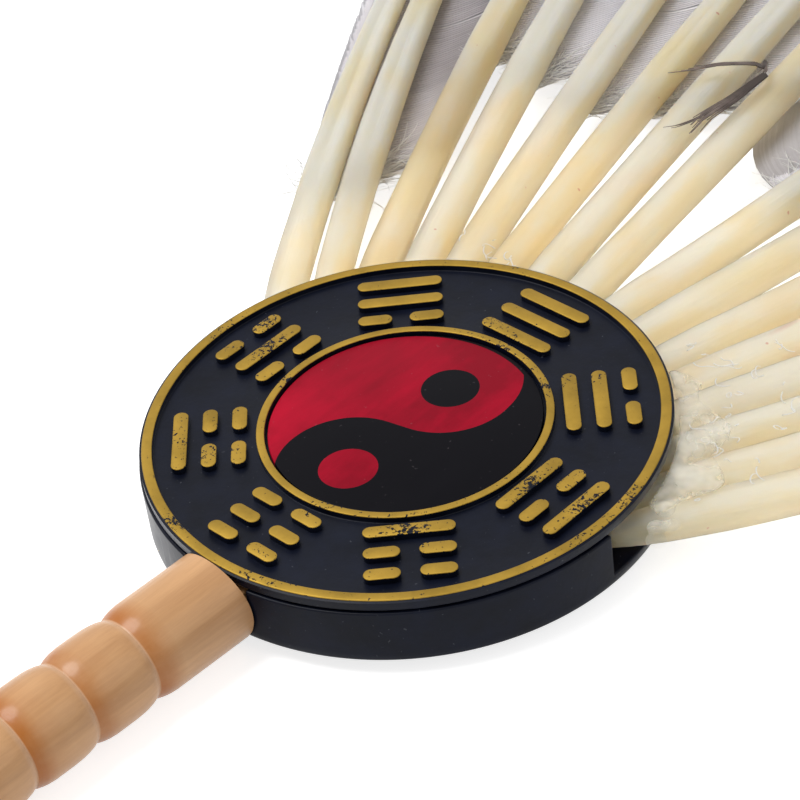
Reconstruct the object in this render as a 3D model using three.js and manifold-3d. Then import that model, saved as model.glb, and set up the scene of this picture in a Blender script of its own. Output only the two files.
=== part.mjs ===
import * as THREE from 'three';
import { mergeVertices } from 'three/addons/utils/BufferGeometryUtils.js';
import Module from 'manifold-3d';

// Goose-feather fan with a round trigram hub and a turned wooden handle.
// Millimetres, +Z out of the printed face, +Y towards the feathers, +X to the right
// when the printed face is looked at with the feathers up. The origin is the centre
// of the hub's flat underside.

const wasm = await Module();
wasm.setup();

const radians = THREE.MathUtils.degToRad;

// Hub shells
const hubRadius = 37.5;
const floorThickness = 1.6;
const floorChamfer = 0.4;
const cavityHeight = 6.2;
const wallThickness = 1.8;
const mouthClearance = 1.1;
const coverThickness = 1.5;
const coverInset = 0.3;
const coverChamfer = 0.3;
const coverSkirt = 1.6;
const seamGap = 0.3;
const hubSides = 72;
const roundSteps = 16;

// Raised figures on the front cover
const reliefHeight = 1.0;
const outerRimWidth = 1.5;
const innerRimRadius = 19.65;
const innerRimWidth = 1.15;
const trigramCount = 8;
const firstRowRadius = 23.15;
const rowPitch = 4.17;
const barLength = 12.5;
const barWidth = 2.14;
const barSplit = 2.5;
const barSink = 0.5;
const barSteps = 4;

// Lines of the eight trigrams, clockwise from the feather side, each from the hub's
// centre outwards: true is a whole bar and false a split one.
const trigrams = [
  [true, true, true],
  [true, true, false],
  [true, false, true],
  [true, false, false],
  [false, false, false],
  [false, false, true],
  [false, true, false],
  [false, true, true],
];

// Printed disc
const insertThickness = 0.8;
const insertDepth = 0.5;
const insertGap = 0.4;
const adhesiveGap = 0.1;

// Handle
const handleRadius = 6.85;
const handleLength = 137;
const handleRise = 4.6;
const handleYaw = radians(-1.4);
const collarLength = 15.5;
const grooveDepth = 0.75;
const beadPitch = 10.3;
const knobLength = 7.5;
const tenonLength = 21;
const tenonWidth = 10.4;
const notchGap = 0.6;
const fitGap = 0.3;
const handleSides = 24;

// One bead of the handle: share of the bead's length, share of the groove's depth.
const beadShares = [[0, 0], [0.09, 0.5], [0.24, 0.88], [0.4, 1], [0.7, 1], [0.88, 0.6]];
const collarShares = [[0.8, 1], [0.9, 0.72], [0.97, 0.25]];
const knobShares = [[0, 0], [0.09, 0.5], [0.24, 0.88], [0.4, 1]];
const domeSteps = 5;

// Quills, from the innermost outwards: where they cross a circle round the hub, measured
// along the circle from the fan's middle line, and how far they lean in from straight
// out there, in degrees.
const quillOutside = 8.5;
const leftPlaces = [4.1, 11.55, 18.4, 25.2, 31.85, 38.85, 46.25, 53.8];
const leftLeanAngles = [-3.9, 2.4, 7.9, 11.4, 13.7, 19.9, 22, 31.5];
const rightPlaces = [4.35, 11.5, 19.25, 26, 32.75, 40.45, 48.15, 55.9];
const rightLeanAngles = [0, 3.7, 8.6, 11.4, 15.3, 22.4, 29, 35.1];
const quillRadius = 2.95;
const quillEndRadius = 1.75;
const quillInside = 16;
const quillRise = 4.7;
const shaftTipRadius = 0.4;
const shaftTaperPower = 1.35;

// Feathers: lengths beyond the circle, and how far they bend towards the middle line.
const featherLength = 212;
const lengthShares = [1, 0.995, 0.985, 0.97, 0.955, 0.94, 0.925, 0.9];
const bareLength = 60;
const leftBareShares = [1, 0.83, 0.75, 0.72, 0.85, 0.97, 0.45, 0.43];
const rightBareShares = [0.58, 0.7, 0.75, 0.7, 0.72, 0.67, 0.47, 0.42];
const leftBendAngles = [4, 5, 6, 7.5, 9.5, 11, 16, 15];
const rightBendAngles = [4, 5, 6, 7.5, 9.5, 11, 13.5, 16];
const tipLift = 14;

// Vanes: the wide one faces the middle line and passes behind the next shaft.
const wideVane = 27;
const narrowVane = 7;
const vaneThickness = 0.45;
const vaneOverlap = 3;
const vaneGap = 0.5;
const wideDropRate = 0.125;
const narrowRiseRate = 0.1;
const leftInnerDropRate = -0.05;
const rightInnerDropRate = 0.06;

// Outline of a vane: share of the vane's length, share of its full width.
const vaneShares = [
  [0, 0.1], [0.04, 0.42], [0.14, 0.62], [0.3, 0.76], [0.48, 0.9], [0.66, 1], [0.82, 0.95],
  [0.92, 0.76], [0.97, 0.5], [1, 0.14],
];

// Quill inside the circle: share of its length there, share of its growth in radius.
const calamusShares = [[0, 0], [0.25, 0.5], [0.5, 0.75], [1, 1]];

// Points round a shaft in degrees: its upper side, the roots of the vanes and the keel
// between them.
const upperAngles = [-62, -14, 22, 56, 90, 124, 158, 194, 242];
const narrowAngles = [249, 256];
const keelAngles = [263, 277];
const wideAngles = [284, 291];
const curveSteps = 200;

// Glue
const bedSetback = 3.3;
const bedWidth = 8.2;
const bedEndAngle = radians(6);
const spillHeight = 2.4;
const spillTop = 3.5;
const spillReach = 8;
const spillSteps = 16;
const spillStart = 27.3;
const spillEnd = 62.6;
const spillShares = [0.12, 0.5, 0.35, 0.62, 0.9, 0.55, 0.8, 1, 0.6, 0.25];

// Sizes that follow from the ones above
const quillCircle = hubRadius + quillOutside;
const cavityTop = floorThickness + cavityHeight;
const fieldHeight = cavityTop + coverThickness;
const faceHeight = fieldHeight + reliefHeight;
const seamHeight = faceHeight - coverSkirt;
const cutOverrun = 5;
const mergeDistance = 1e-5;

const material = (color, roughness) =>
  new THREE.MeshStandardMaterial({ color, roughness, metalness: 0 });

const plasticBlack = () => material(0x23242c, 0.45);
const printedRed = () => material(0xb0203a, 0.4);
const beech = () => material(0xc8965f, 0.4);
const feather = () => material(0xd8cdb0, 0.6);
const glue = () => material(0xe6e2cc, 0.3);

// A closed geometry as a solid that can be joined and cut.
function toSolid(geometry) {
  const bare = geometry.index ? geometry.clone() : geometry;
  bare.deleteAttribute('normal');
  bare.deleteAttribute('uv');
  const merged = mergeVertices(bare, mergeDistance);
  const mesh = new wasm.Mesh({
    numProp: 3,
    vertProperties: new Float32Array(merged.attributes.position.array),
    triVerts: new Uint32Array(merged.index.array),
  });
  return new wasm.Manifold(mesh);
}

// A solid as a geometry again.
function toGeometry(solid) {
  const { vertProperties, triVerts } = solid.getMesh();
  const geometry = new THREE.BufferGeometry();
  geometry.setAttribute('position', new THREE.BufferAttribute(vertProperties, 3));
  geometry.setIndex(new THREE.BufferAttribute(triVerts, 1));
  geometry.computeVertexNormals();
  return geometry;
}

function mesh(name, geometry, finish) {
  const part = new THREE.Mesh(geometry, finish);
  part.name = name;
  return part;
}

// A profile of radius and height pairs turned about Z.
function turned(profile, sides) {
  const points = profile.map(([radius, height]) => new THREE.Vector2(radius, height));
  return new THREE.LatheGeometry(points, sides).rotateX(Math.PI / 2);
}

function extruded(shape, depth, bottom, steps = roundSteps) {
  const options = { depth, bevelEnabled: false, curveSegments: steps };
  return new THREE.ExtrudeGeometry(shape, options).translate(0, 0, bottom);
}

// A sector of a flat ring; angles run clockwise from +Y.
function ringSector(inner, outer, from, to) {
  const start = Math.PI / 2 - from;
  const end = Math.PI / 2 - to;
  const shape = new THREE.Shape();
  shape.absarc(0, 0, outer, start, end, true);
  shape.absarc(0, 0, inner, end, start, false);
  shape.closePath();
  return shape;
}

// The angle at which the mouth ends on either side, clear of the outermost quill's end.
function mouthHalf() {
  const ends = [routes.left, routes.right].map((group) => routePoint(group.at(-1), -quillInside).point);
  return Math.max(...ends.map((end) =>
    Math.atan2(Math.abs(end.x), end.y) + Math.asin((quillEndRadius + mouthClearance) / end.length())));
}

// Half of the shell's wall, from the edge of the mouth to the side of the handle's notch.
function wallHalf(side) {
  const notchHalf = tenonWidth / 2 + notchGap;
  const notchAngle = Math.asin(notchHalf / hubRadius);
  const shape = ringSector(hubRadius - wallThickness, hubRadius, mouthHalf(), Math.PI - notchAngle);
  const height = seamHeight - seamGap - floorThickness / 2;
  const half = extruded(shape, height, floorThickness / 2);
  return side > 0 ? toSolid(half) : toSolid(half).mirror([1, 0, 0]);
}

function backShell() {
  const floor = turned([
    [0, 0],
    [hubRadius - floorChamfer, 0],
    [hubRadius, floorChamfer],
    [hubRadius, floorThickness],
    [0, floorThickness],
  ], hubSides);
  const shell = toSolid(floor).add(wallHalf(1)).add(wallHalf(-1));
  return mesh('back_shell', toGeometry(shell), plasticBlack());
}

// One raised bar with round ends, lying along X.
function bar(length) {
  const radius = barWidth / 2;
  const reach = length / 2 - radius;
  const shape = new THREE.Shape();
  shape.absarc(reach, 0, radius, -Math.PI / 2, Math.PI / 2, false);
  shape.absarc(-reach, 0, radius, Math.PI / 2, Math.PI * 1.5, false);
  shape.closePath();
  return extruded(shape, reliefHeight + barSink, fieldHeight - barSink, barSteps);
}

// The bars of one line of a trigram, at its row's distance from the centre.
function trigramLine(whole, radius, turn) {
  const half = (barLength - barSplit) / 2;
  const offset = (barSplit + half) / 2;
  const bars = whole ? [[barLength, 0]] : [[half, -offset], [half, offset]];
  return bars.map(([length, x]) => toSolid(bar(length).translate(x, radius, 0).rotateZ(-turn)));
}

function trigramBars() {
  return trigrams.flatMap((lines, place) => {
    const turn = (place / trigramCount) * Math.PI * 2;
    return lines.flatMap((whole, row) => trigramLine(whole, firstRowRadius + row * rowPitch, turn));
  });
}

function frontCover() {
  const coverRadius = hubRadius - coverInset;
  const spigotRadius = hubRadius - wallThickness - fitGap;
  const rimOuter = coverRadius - coverChamfer;
  const recessFloor = faceHeight - insertDepth - insertThickness - adhesiveGap;
  const plate = turned([
    [0, cavityTop],
    [spigotRadius, cavityTop],
    [spigotRadius, seamHeight],
    [coverRadius, seamHeight],
    [coverRadius, faceHeight - coverChamfer],
    [rimOuter, faceHeight],
    [rimOuter - outerRimWidth, faceHeight],
    [rimOuter - outerRimWidth, fieldHeight],
    [innerRimRadius + innerRimWidth, fieldHeight],
    [innerRimRadius + innerRimWidth, faceHeight],
    [innerRimRadius, faceHeight],
    [innerRimRadius, recessFloor],
    [0, recessFloor],
  ], hubSides);
  const cover = trigramBars().reduce((whole, piece) => whole.add(piece), toSolid(plate));
  return mesh('front_cover', toGeometry(cover), plasticBlack());
}

function yinYangInsert() {
  const radius = innerRimRadius - insertGap;
  const top = faceHeight - insertDepth;
  const bottom = top - insertThickness;
  const disc = turned([[0, bottom], [radius, bottom], [radius, top], [0, top]], hubSides);
  return mesh('yin_yang_insert', toGeometry(toSolid(disc)), printedRed());
}

// The handle's outline from the hub outwards: distance from its shoulder and radius.
function handleProfile() {
  const grooveRadius = handleRadius - grooveDepth;
  const radiusAt = (share) => grooveRadius + share * grooveDepth;
  const points = collarShares.map(([place, rise]) => [radiusAt(rise), place * collarLength]);
  const beadCount = Math.floor((handleLength - collarLength - knobLength) / beadPitch);
  for (let bead = 0; bead < beadCount; bead += 1) {
    const start = collarLength + bead * beadPitch;
    beadShares.forEach(([place, rise]) => points.push([radiusAt(rise), start + place * beadPitch]));
  }
  const knobStart = collarLength + beadCount * beadPitch;
  knobShares.forEach(([place, rise]) => points.push([radiusAt(rise), knobStart + place * beadPitch]));
  const domeStart = points.at(-1)[1];
  for (let step = 1; step < domeSteps; step += 1) {
    const angle = (step / domeSteps) * (Math.PI / 2);
    const height = domeStart + (handleLength - domeStart) * Math.sin(angle);
    points.push([handleRadius * Math.cos(angle), height]);
  }
  return [...points, [0, handleLength]];
}

function handle() {
  const barrel = turned([[0, -cutOverrun], [handleRadius, -cutOverrun], ...handleProfile()], handleSides);
  barrel.rotateX(Math.PI / 2).rotateZ(handleYaw).translate(0, -hubRadius, handleRise);
  const cutBottom = handleRise - handleRadius - cutOverrun;
  const cutTop = handleRise + handleRadius + cutOverrun;
  const clearance = toSolid(turned([
    [0, cutBottom],
    [hubRadius + fitGap, cutBottom],
    [hubRadius + fitGap, cutTop],
    [0, cutTop],
  ], hubSides));
  const tenonHeight = cavityHeight - 2 * fitGap;
  const tenonSpan = tenonLength + cutOverrun;
  const tenon = new THREE.BoxGeometry(tenonWidth, tenonSpan, tenonHeight)
    .translate(0, tenonLength - tenonSpan / 2, 0)
    .rotateZ(handleYaw)
    .translate(0, -hubRadius, floorThickness + cavityHeight / 2);
  const whole = toSolid(barrel).subtract(clearance).add(toSolid(tenon));
  return mesh('handle', toGeometry(whole), beech());
}

// The middle line of one feather in plan: points, headings and distances along it.
function featherRoute(side, index) {
  const places = side < 0 ? leftPlaces : rightPlaces;
  const leans = side < 0 ? leftLeanAngles : rightLeanAngles;
  const place = side * (places[index] / quillCircle);
  const heading = place - side * radians(leans[index]);
  const bends = side < 0 ? leftBendAngles : rightBendAngles;
  const bend = side * radians(bends[index]);
  const length = featherLength * lengthShares[index];
  const start = new THREE.Vector2(Math.sin(place), Math.cos(place)).multiplyScalar(quillCircle);
  return { side, index, start, heading, bend, length };
}

// Heading and place of a route at a distance from the circle: straight inside it, and
// then bending evenly towards the fan's middle line.
function routePoint(route, distance) {
  const along = Math.max(distance, 0);
  const turn = route.heading - route.bend * (along / route.length);
  const middle = (route.heading + turn) / 2;
  const direction = new THREE.Vector2(Math.sin(middle), Math.cos(middle));
  return { point: direction.multiplyScalar(distance).add(route.start), turn };
}

function routeSamples(route) {
  return Array.from({ length: curveSteps + 1 }, (_, step) =>
    routePoint(route, -quillInside + (step / curveSteps) * (route.length + quillInside)).point);
}

const nearest = (samples, point) => Math.min(...samples.map((sample) => sample.distanceTo(point)));

// How far the feathers rise off the hub's plane at a place in plan.
function dishHeight(point) {
  const beyond = Math.max(point.length() - quillCircle, 0);
  return tipLift * (beyond / featherLength) ** 2;
}

// One cross-section of a feather, as places across it and heights above its middle line.
// A bare quill is round. Where there are vanes, the shaft thins down onto them, points of
// its underside move out to their edges, and the wide vane drops and the narrow one rises
// so that neighbours clear.
function section(radius, vanes) {
  const sink = vanes ? quillRadius - radius : 0;
  const rim = (angles) => angles.map((angle) =>
    [radius * Math.cos(radians(angle)), radius * Math.sin(radians(angle)) - sink]);
  if (!vanes) return rim([...upperAngles, ...narrowAngles, ...keelAngles, ...wideAngles]);
  const root = -quillRadius + vaneThickness;
  const edge = (across, rate) => [[across, root + Math.abs(across) * rate],
    [across, root + Math.abs(across) * rate - vaneThickness]];
  const narrowEdge = edge(-vanes.narrow, narrowRiseRate);
  const wideEdge = edge(vanes.wide, -vanes.dropRate).reverse();
  return [...rim(upperAngles), ...narrowEdge, ...rim(keelAngles), ...wideEdge];
}

// Rings of points joined into one closed skin, each end closed on a point of its own.
function skin(rings, endCentres) {
  const count = rings[0].length;
  const points = [...rings.flat(), ...endCentres];
  const faces = [];
  for (let ring = 0; ring < rings.length - 1; ring += 1) {
    for (let step = 0; step < count; step += 1) {
      const next = (step + 1) % count;
      const [a, b] = [ring * count + step, ring * count + next];
      faces.push(a, b, b + count, a, b + count, a + count);
    }
  }
  const last = (rings.length - 1) * count;
  for (let step = 0; step < count; step += 1) {
    const next = (step + 1) % count;
    faces.push(points.length - 2, next, step, points.length - 1, last + step, last + next);
  }
  const geometry = new THREE.BufferGeometry().setFromPoints(points);
  geometry.setIndex(faces);
  return geometry;
}

// A point of a cross-section placed in the fan.
function placed(route, at, [across, height]) {
  const { point, turn } = at;
  const inward = -route.side * across;
  const plan = new THREE.Vector2(point.x + inward * Math.cos(turn), point.y - inward * Math.sin(turn));
  return new THREE.Vector3(plan.x, plan.y, quillRise + height + dishHeight(plan));
}

// The stations of a quill from its cut end to the circle.
function calamus() {
  return calamusShares.map(([place, growth]) => ({
    distance: (place - 1) * quillInside,
    radius: quillEndRadius + growth * (quillRadius - quillEndRadius),
    share: 0,
  }));
}

// The stations of a feather: distance along it, radius of its shaft and share of the
// vanes' full width, which is zero on the bare quill.
function stations(route) {
  const bareShares = route.side < 0 ? leftBareShares : rightBareShares;
  const bare = bareLength * bareShares[route.index];
  const root = { distance: bare - narrowVane / 2, radius: quillRadius, share: 0 };
  const vane = vaneShares.map(([place, share]) => ({
    distance: bare + place * (route.length - bare),
    radius: shaftTipRadius + (quillRadius - shaftTipRadius) * (1 - place ** shaftTaperPower),
    share,
  }));
  return [...calamus(), root, ...vane];
}

function dropRateOf(route) {
  if (route.index > 0) return wideDropRate;
  return route.side < 0 ? leftInnerDropRate : rightInnerDropRate;
}

// The widths of a feather's vanes at one place, held back by the shafts on either side.
// The innermost wide vane stops short of the opposite shaft, and the others reach just
// past the next one.
function vaneWidths(route, point, share, inner, outer) {
  const innerGap = nearest(inner, point);
  const wideLimit = route.index > 0 ? innerGap + vaneOverlap : innerGap - quillRadius - vaneGap;
  const narrowLimit = outer ? nearest(outer, point) - quillRadius - vaneGap : narrowVane;
  return {
    wide: Math.min(wideVane * share, wideLimit),
    narrow: Math.min(narrowVane * share, narrowLimit),
    dropRate: dropRateOf(route),
  };
}

function featherGeometry(route, inner, outer) {
  const places = stations(route);
  const rings = places.map(({ distance, radius, share }) => {
    const at = routePoint(route, distance);
    const vanes = share > 0 ? vaneWidths(route, at.point, share, inner, outer) : null;
    return section(radius, vanes).map((spot) => placed(route, at, spot));
  });
  const centres = [places[0], places.at(-1)].map(({ distance, share }) =>
    placed(route, routePoint(route, distance), [0, share > 0 ? vaneThickness - quillRadius : 0]));
  return facingOut(route, skin(rings, centres));
}

// A skin with its faces turned to point outwards on both sides of the fan.
function facingOut(route, geometry) {
  if (route.side > 0) return geometry;
  const index = Array.from(geometry.index.array);
  for (let face = 0; face < index.length; face += 3) {
    [index[face], index[face + 1]] = [index[face + 1], index[face]];
  }
  geometry.setIndex(index);
  return geometry;
}

const routes = {
  left: leftPlaces.map((_, index) => featherRoute(-1, index)),
  right: rightPlaces.map((_, index) => featherRoute(1, index)),
};

function featherMeshes(name, group, opposite) {
  const samples = group.map(routeSamples);
  return group.map((route, index) => {
    const inner = index > 0 ? samples[index - 1] : routeSamples(opposite[0]);
    const geometry = featherGeometry(route, inner, samples[index + 1]);
    return mesh(`feather_${name}_${index + 1}`, geometry, feather());
  });
}

// The bare end of a quill with the glue's clearance round it.
function quillClearance(route) {
  const places = [...calamus(), { distance: spillReach, radius: quillRadius }];
  places[0].distance -= fitGap;
  const rings = places.map(({ distance, radius }) => {
    const at = routePoint(route, distance);
    return section(radius + fitGap).map((spot) => placed(route, at, spot));
  });
  const ends = [places[0], places.at(-1)];
  const centres = ends.map(({ distance }) => placed(route, routePoint(route, distance), [0, 0]));
  const geometry = skin(rings, centres);
  return toSolid(facingOut(route, geometry));
}

function glueBed() {
  const outer = hubRadius - bedSetback;
  const end = mouthHalf() - bedEndAngle;
  const shape = ringSector(outer - bedWidth, outer, -end, end);
  const bed = toSolid(extruded(shape, cavityHeight - 2 * fitGap, floorThickness + fitGap));
  const all = [...routes.left, ...routes.right];
  const cut = all.reduce((solid, route) => solid.subtract(quillClearance(route)), bed);
  return mesh('glue_bed', toGeometry(cut), glue());
}

// The spilled glue: a wavy film on the outer quills at the right of the mouth.
function glueSpill() {
  const inner = hubRadius + fitGap;
  const shape = new THREE.Shape();
  const sweep = spillEnd - spillStart;
  const at = (share, radius) => {
    const angle = Math.PI / 2 - (spillStart + share * sweep) / quillCircle;
    return new THREE.Vector2(radius * Math.cos(angle), radius * Math.sin(angle));
  };
  const wave = new THREE.SplineCurve(spillShares.map((rise, step) =>
    at(step / (spillShares.length - 1), inner + rise * spillReach)));
  const edge = Array.from({ length: spillSteps + 1 }, (_, step) => at(1 - step / spillSteps, inner));
  shape.setFromPoints([...wave.getPoints(2 * spillSteps), ...edge]);
  const film = toSolid(extruded(shape, spillHeight, quillRise + spillTop - spillHeight));
  const cut = routes.right.reduce((solid, route) => solid.subtract(quillClearance(route)), film);
  return mesh('glue_spill', toGeometry(cut), glue());
}

const fan = new THREE.Group();
fan.add(backShell());
fan.add(frontCover());
fan.add(yinYangInsert());
fan.add(handle());
fan.add(...featherMeshes('left', routes.left, routes.right));
fan.add(...featherMeshes('right', routes.right, routes.left));
fan.add(glueBed());
fan.add(glueSpill());

export default fan;
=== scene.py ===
import math
import random

import bmesh
import bpy
import numpy as np
from mathutils import Matrix, Vector


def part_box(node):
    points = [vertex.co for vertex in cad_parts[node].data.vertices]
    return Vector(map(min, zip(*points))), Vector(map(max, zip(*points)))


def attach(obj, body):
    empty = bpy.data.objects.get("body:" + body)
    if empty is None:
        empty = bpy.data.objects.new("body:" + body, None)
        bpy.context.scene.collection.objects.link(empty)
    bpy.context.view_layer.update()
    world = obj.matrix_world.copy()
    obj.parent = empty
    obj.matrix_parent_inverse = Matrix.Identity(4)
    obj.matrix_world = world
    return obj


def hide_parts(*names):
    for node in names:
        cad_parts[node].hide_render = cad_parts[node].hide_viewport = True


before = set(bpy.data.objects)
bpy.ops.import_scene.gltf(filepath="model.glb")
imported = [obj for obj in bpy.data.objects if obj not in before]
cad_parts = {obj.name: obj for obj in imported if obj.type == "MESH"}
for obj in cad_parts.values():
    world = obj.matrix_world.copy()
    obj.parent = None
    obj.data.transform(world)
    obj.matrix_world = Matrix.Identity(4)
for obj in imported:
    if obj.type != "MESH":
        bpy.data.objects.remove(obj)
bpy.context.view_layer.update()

bl_info = {
    "name": "Feather fan",
    "version": (1, 0, 0),
    "blender": (4, 5, 0),
    "location": "View3D > Sidebar > Feather fan",
    "description": "Builds the looks of a goose-feather fan round its packed frame",
    "category": "Object",
}

# The frame is in metres; the sizes here are read in millimetres, +Y towards the feathers
# and +Z out of the printed face.
MM = 0.001
WHOLE_TURN = math.tau
BODY = "root"
BLACK = (0, 0, 0, 1)
WHITE = (1, 1, 1, 1)

# Index of the last of the eight feathers on each side, counted from the middle.
OUTERMOST = 7


# Sizes and colours

def linear(code):
    """An sRGB hex colour as linear red, green, blue and alpha."""
    shares = [int(code[place:place + 2], 16) / 255 for place in (1, 3, 5)]
    return [c / 12.92 if c <= 0.04045 else ((c + 0.055) / 1.055) ** 2.4 for c in shares] + [1.0]


def shaded(base, share):
    """A linear colour made darker or lighter by a share."""
    return [min(c * share, 1) for c in base[:3]] + [1]


def length(name, size, description):
    """A length property whose default is given in millimetres."""
    return bpy.props.FloatProperty(
        name=name, description=description, default=size * MM, min=0.0, unit="LENGTH", precision=5)


def colour(name, code, description):
    """A colour property whose default is given as an sRGB hex code."""
    return bpy.props.FloatVectorProperty(
        name=name, description=description, default=linear(code), size=4, min=0.0, max=1.0, subtype="COLOR")


class FanHubSettings(bpy.types.PropertyGroup):
    """Sizes and finishes of the black hub"""

    radius: length("Hub radius", 37.5, "Outer radius of the tray")
    cover_radius: length("Cover radius", 37.2, "Outer radius of the front cover")
    wall: length("Wall", 1.8, "Thickness of the tray's wall")
    floor: length("Floor", 1.6, "Thickness of the tray's floor")
    edge: length("Edge rounding", 0.3, "Radius of the moulded edges")
    rim_outer: length("Outer rim", 36.9, "Outer radius of the gilded outer rim")
    rim_width: length("Outer rim width", 1.5, "Width of the gilded outer rim")
    ring_inner: length("Inner ring", 19.65, "Inner radius of the gilded inner ring")
    ring_width: length("Inner ring width", 1.15, "Width of the gilded inner ring")
    first_row: length("First row", 23.15, "Radius at which the first line of each trigram lies")
    row_pitch: length("Row pitch", 4.17, "Distance between the lines of a trigram")
    bar_length: length("Bar length", 12.5, "Length of a whole bar")
    bar_width: length("Bar width", 2.14, "Width of a bar")
    bar_split: length("Bar split", 2.5, "Gap in a split bar")
    plastic: colour("Black ABS", "#0a0e1b", "Colour of the moulded plastic")
    foil: colour("Gold foil", "#9f8136", "Colour of the stamped foil")
    crimson: colour("Crimson", "#b0102c", "Red half of the printed disc")
    ink: colour("Black ink", "#08070d", "Black half of the printed disc")


class FanHandleSettings(bpy.types.PropertyGroup):
    """Sizes and finish of the turned handle"""

    radius: length("Radius", 6.85, "Radius of the turned barrel")
    length: length("Length", 137, "Length from the hub's rim to the knob's end")
    rise: length("Rise", 4.6, "Height of the handle's axis over the hub's underside")
    groove: length("Groove depth", 0.75, "Depth of the turned grooves")
    pitch: length("Bead pitch", 10.3, "Distance between two grooves")
    light: colour("Wood", "#dca976", "Lighter grain of the beech")
    dark: colour("Darker grain", "#ac794a", "Darker grain of the beech")
    stain: colour("Groove stain", "#b2681a", "Varnish gathered beside the grooves")


class FanFeatherSettings(bpy.types.PropertyGroup):
    """Sizes and finishes of the feathers"""

    quill_radius: length("Quill radius", 2.95, "Radius of the bare quill")
    feather_length: length("Feather length", 212, "Length of the longest feather beyond the quill circle")
    barb_pitch: length("Barb pitch", 0.72, "Distance between two barbs along the shaft")
    barb_width: length("Barb width", 0.95, "Width of a barb at its root")
    milky: colour("Milky quill", "#ece7d8", "Colour of the quill's cloudy upper side")
    # The honey colour is painted shade: it goes on each quill's lower right side, away from the key light.
    horn: colour("Honey quill", "#efdfbb", "Colour of the quill where its wall is seen through")
    amber: colour("Amber", "#f0d59b", "Colour of the quill's thicker places")
    pale: colour("Pale barbs", "#f8f5fb", "Colour of the lightest barbs")
    grey: colour("Grey barbs", "#857879", "Colour of the darkest barbs")
    dark: colour("Dark barbs", "#3b302b", "Colour of the stray dark barbs")
    down: colour("Down", "#f6f5f3", "Colour of the down at the foot of the vanes")


class FanGlueSettings(bpy.types.PropertyGroup):
    """Finish of the hot-melt glue"""

    voxel: length("Voxel", 0.45, "Size of the glue's smallest bump")
    fine_voxel: length("Fine voxel", 0.3, "Size of the smallest bump on the spilled film")
    clear: colour("Glue", "#f3efe2", "Colour of the cloudy glue")


class FanStageSettings(bpy.types.PropertyGroup):
    """Floor, light and camera"""

    ground: colour("Floor", "#dedede", "Colour of the floor")
    lens: bpy.props.FloatProperty(
        name="Lens", description="Focal length of the camera in millimetres", default=128.69, min=1.0)
    ambient: bpy.props.FloatProperty(
        name="Ambient", description="Strength of the light from all round", default=0.36, min=0.0)


# Small tools

def add(tree, kind, inputs=None, **settings):
    """Adds a shader node. Inputs take a value or the socket that feeds them; stops fill a colour ramp."""
    item = tree.nodes.new("ShaderNode" + kind)
    for stop, (place, shade) in enumerate(settings.pop("stops", [])):
        element = item.color_ramp.elements[stop] if stop < 2 else item.color_ramp.elements.new(place)
        element.position = place
        element.color = shade
    for name, value in settings.items():
        setattr(item, name, value)
    for name, value in (inputs or {}).items():
        if isinstance(value, bpy.types.NodeSocket):
            tree.links.new(value, item.inputs[name])
        else:
            item.inputs[name].default_value = value
    return item


def new_material(name):
    """An empty node material with its output, as (material, tree, output)."""
    material = bpy.data.materials.new(name)
    material.use_nodes = True
    tree = material.node_tree
    tree.nodes.clear()
    return material, tree, add(tree, "OutputMaterial")


def noise(tree, place, scale, detail, roughness=0.5, **inputs):
    """The value of a noise texture."""
    return add(tree, "TexNoise", {
        "Vector": place, "Scale": scale, "Detail": detail, "Roughness": roughness,
        **inputs}).outputs["Fac"]


def ranged(tree, value, low, high, to_low, to_high, **settings):
    """A value carried from one range to another and held within it."""
    return add(tree, "MapRange", {
        "Value": value, "From Min": low, "From Max": high, "To Min": to_low, "To Max": to_high},
        **settings).outputs["Result"]


def maths(tree, operation, *values, **settings):
    """The result of a Math node."""
    return add(tree, "Math", dict(enumerate(values)), operation=operation, **settings).outputs[0]


def blend(tree, share, one, other):
    """One colour mixed with another by a share."""
    return add(tree, "Mix", {0: share, 6: one, 7: other}, data_type="RGBA").outputs[2]


def ramp(tree, value, *stops):
    """The colour that a value has on a ramp of (place, colour) stops."""
    return add(tree, "ValToRGB", {"Fac": value}, stops=stops).outputs["Color"]


def stored(tree, name, output="Fac"):
    """What an attribute of the mesh holds."""
    return add(tree, "Attribute", attribute_name=name).outputs[output]


def stretched(tree, place, scale, **inputs):
    """A place with its axes scaled, which draws a texture out along the small ones."""
    return add(tree, "Mapping", {"Vector": place, "Scale": scale, **inputs}).outputs[0]


def bumpy(tree, height, strength, reach):
    """The normal of a surface with bumps; reach is their greatest height."""
    return add(tree, "Bump", {"Height": height, "Strength": strength, "Distance": reach}).outputs["Normal"]


def in_plan(tree, place):
    """A place without its height."""
    return add(tree, "VectorMath", {0: place, 1: (1, 1, 0)}, operation="MULTIPLY").outputs[0]


def away(tree, flat, x, y):
    """Distance in plan from a point that is given in millimetres."""
    return add(tree, "VectorMath", {0: flat, 1: (x * MM, y * MM, 0)}, operation="DISTANCE").outputs["Value"]


def along(tree, place, direction):
    """How far a place lies along a direction."""
    return add(tree, "VectorMath", {0: place, 1: direction}, operation="DOT_PRODUCT").outputs["Value"]


def seen_ray(tree):
    """1 for rays from the camera and those that it sends on by reflection or through what is clear."""
    ray = add(tree, "LightPath")
    direct = maths(tree, "MAXIMUM", ray.outputs["Is Camera Ray"], ray.outputs["Is Glossy Ray"])
    return maths(tree, "MAXIMUM", direct, ray.outputs["Is Transmission Ray"])


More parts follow.
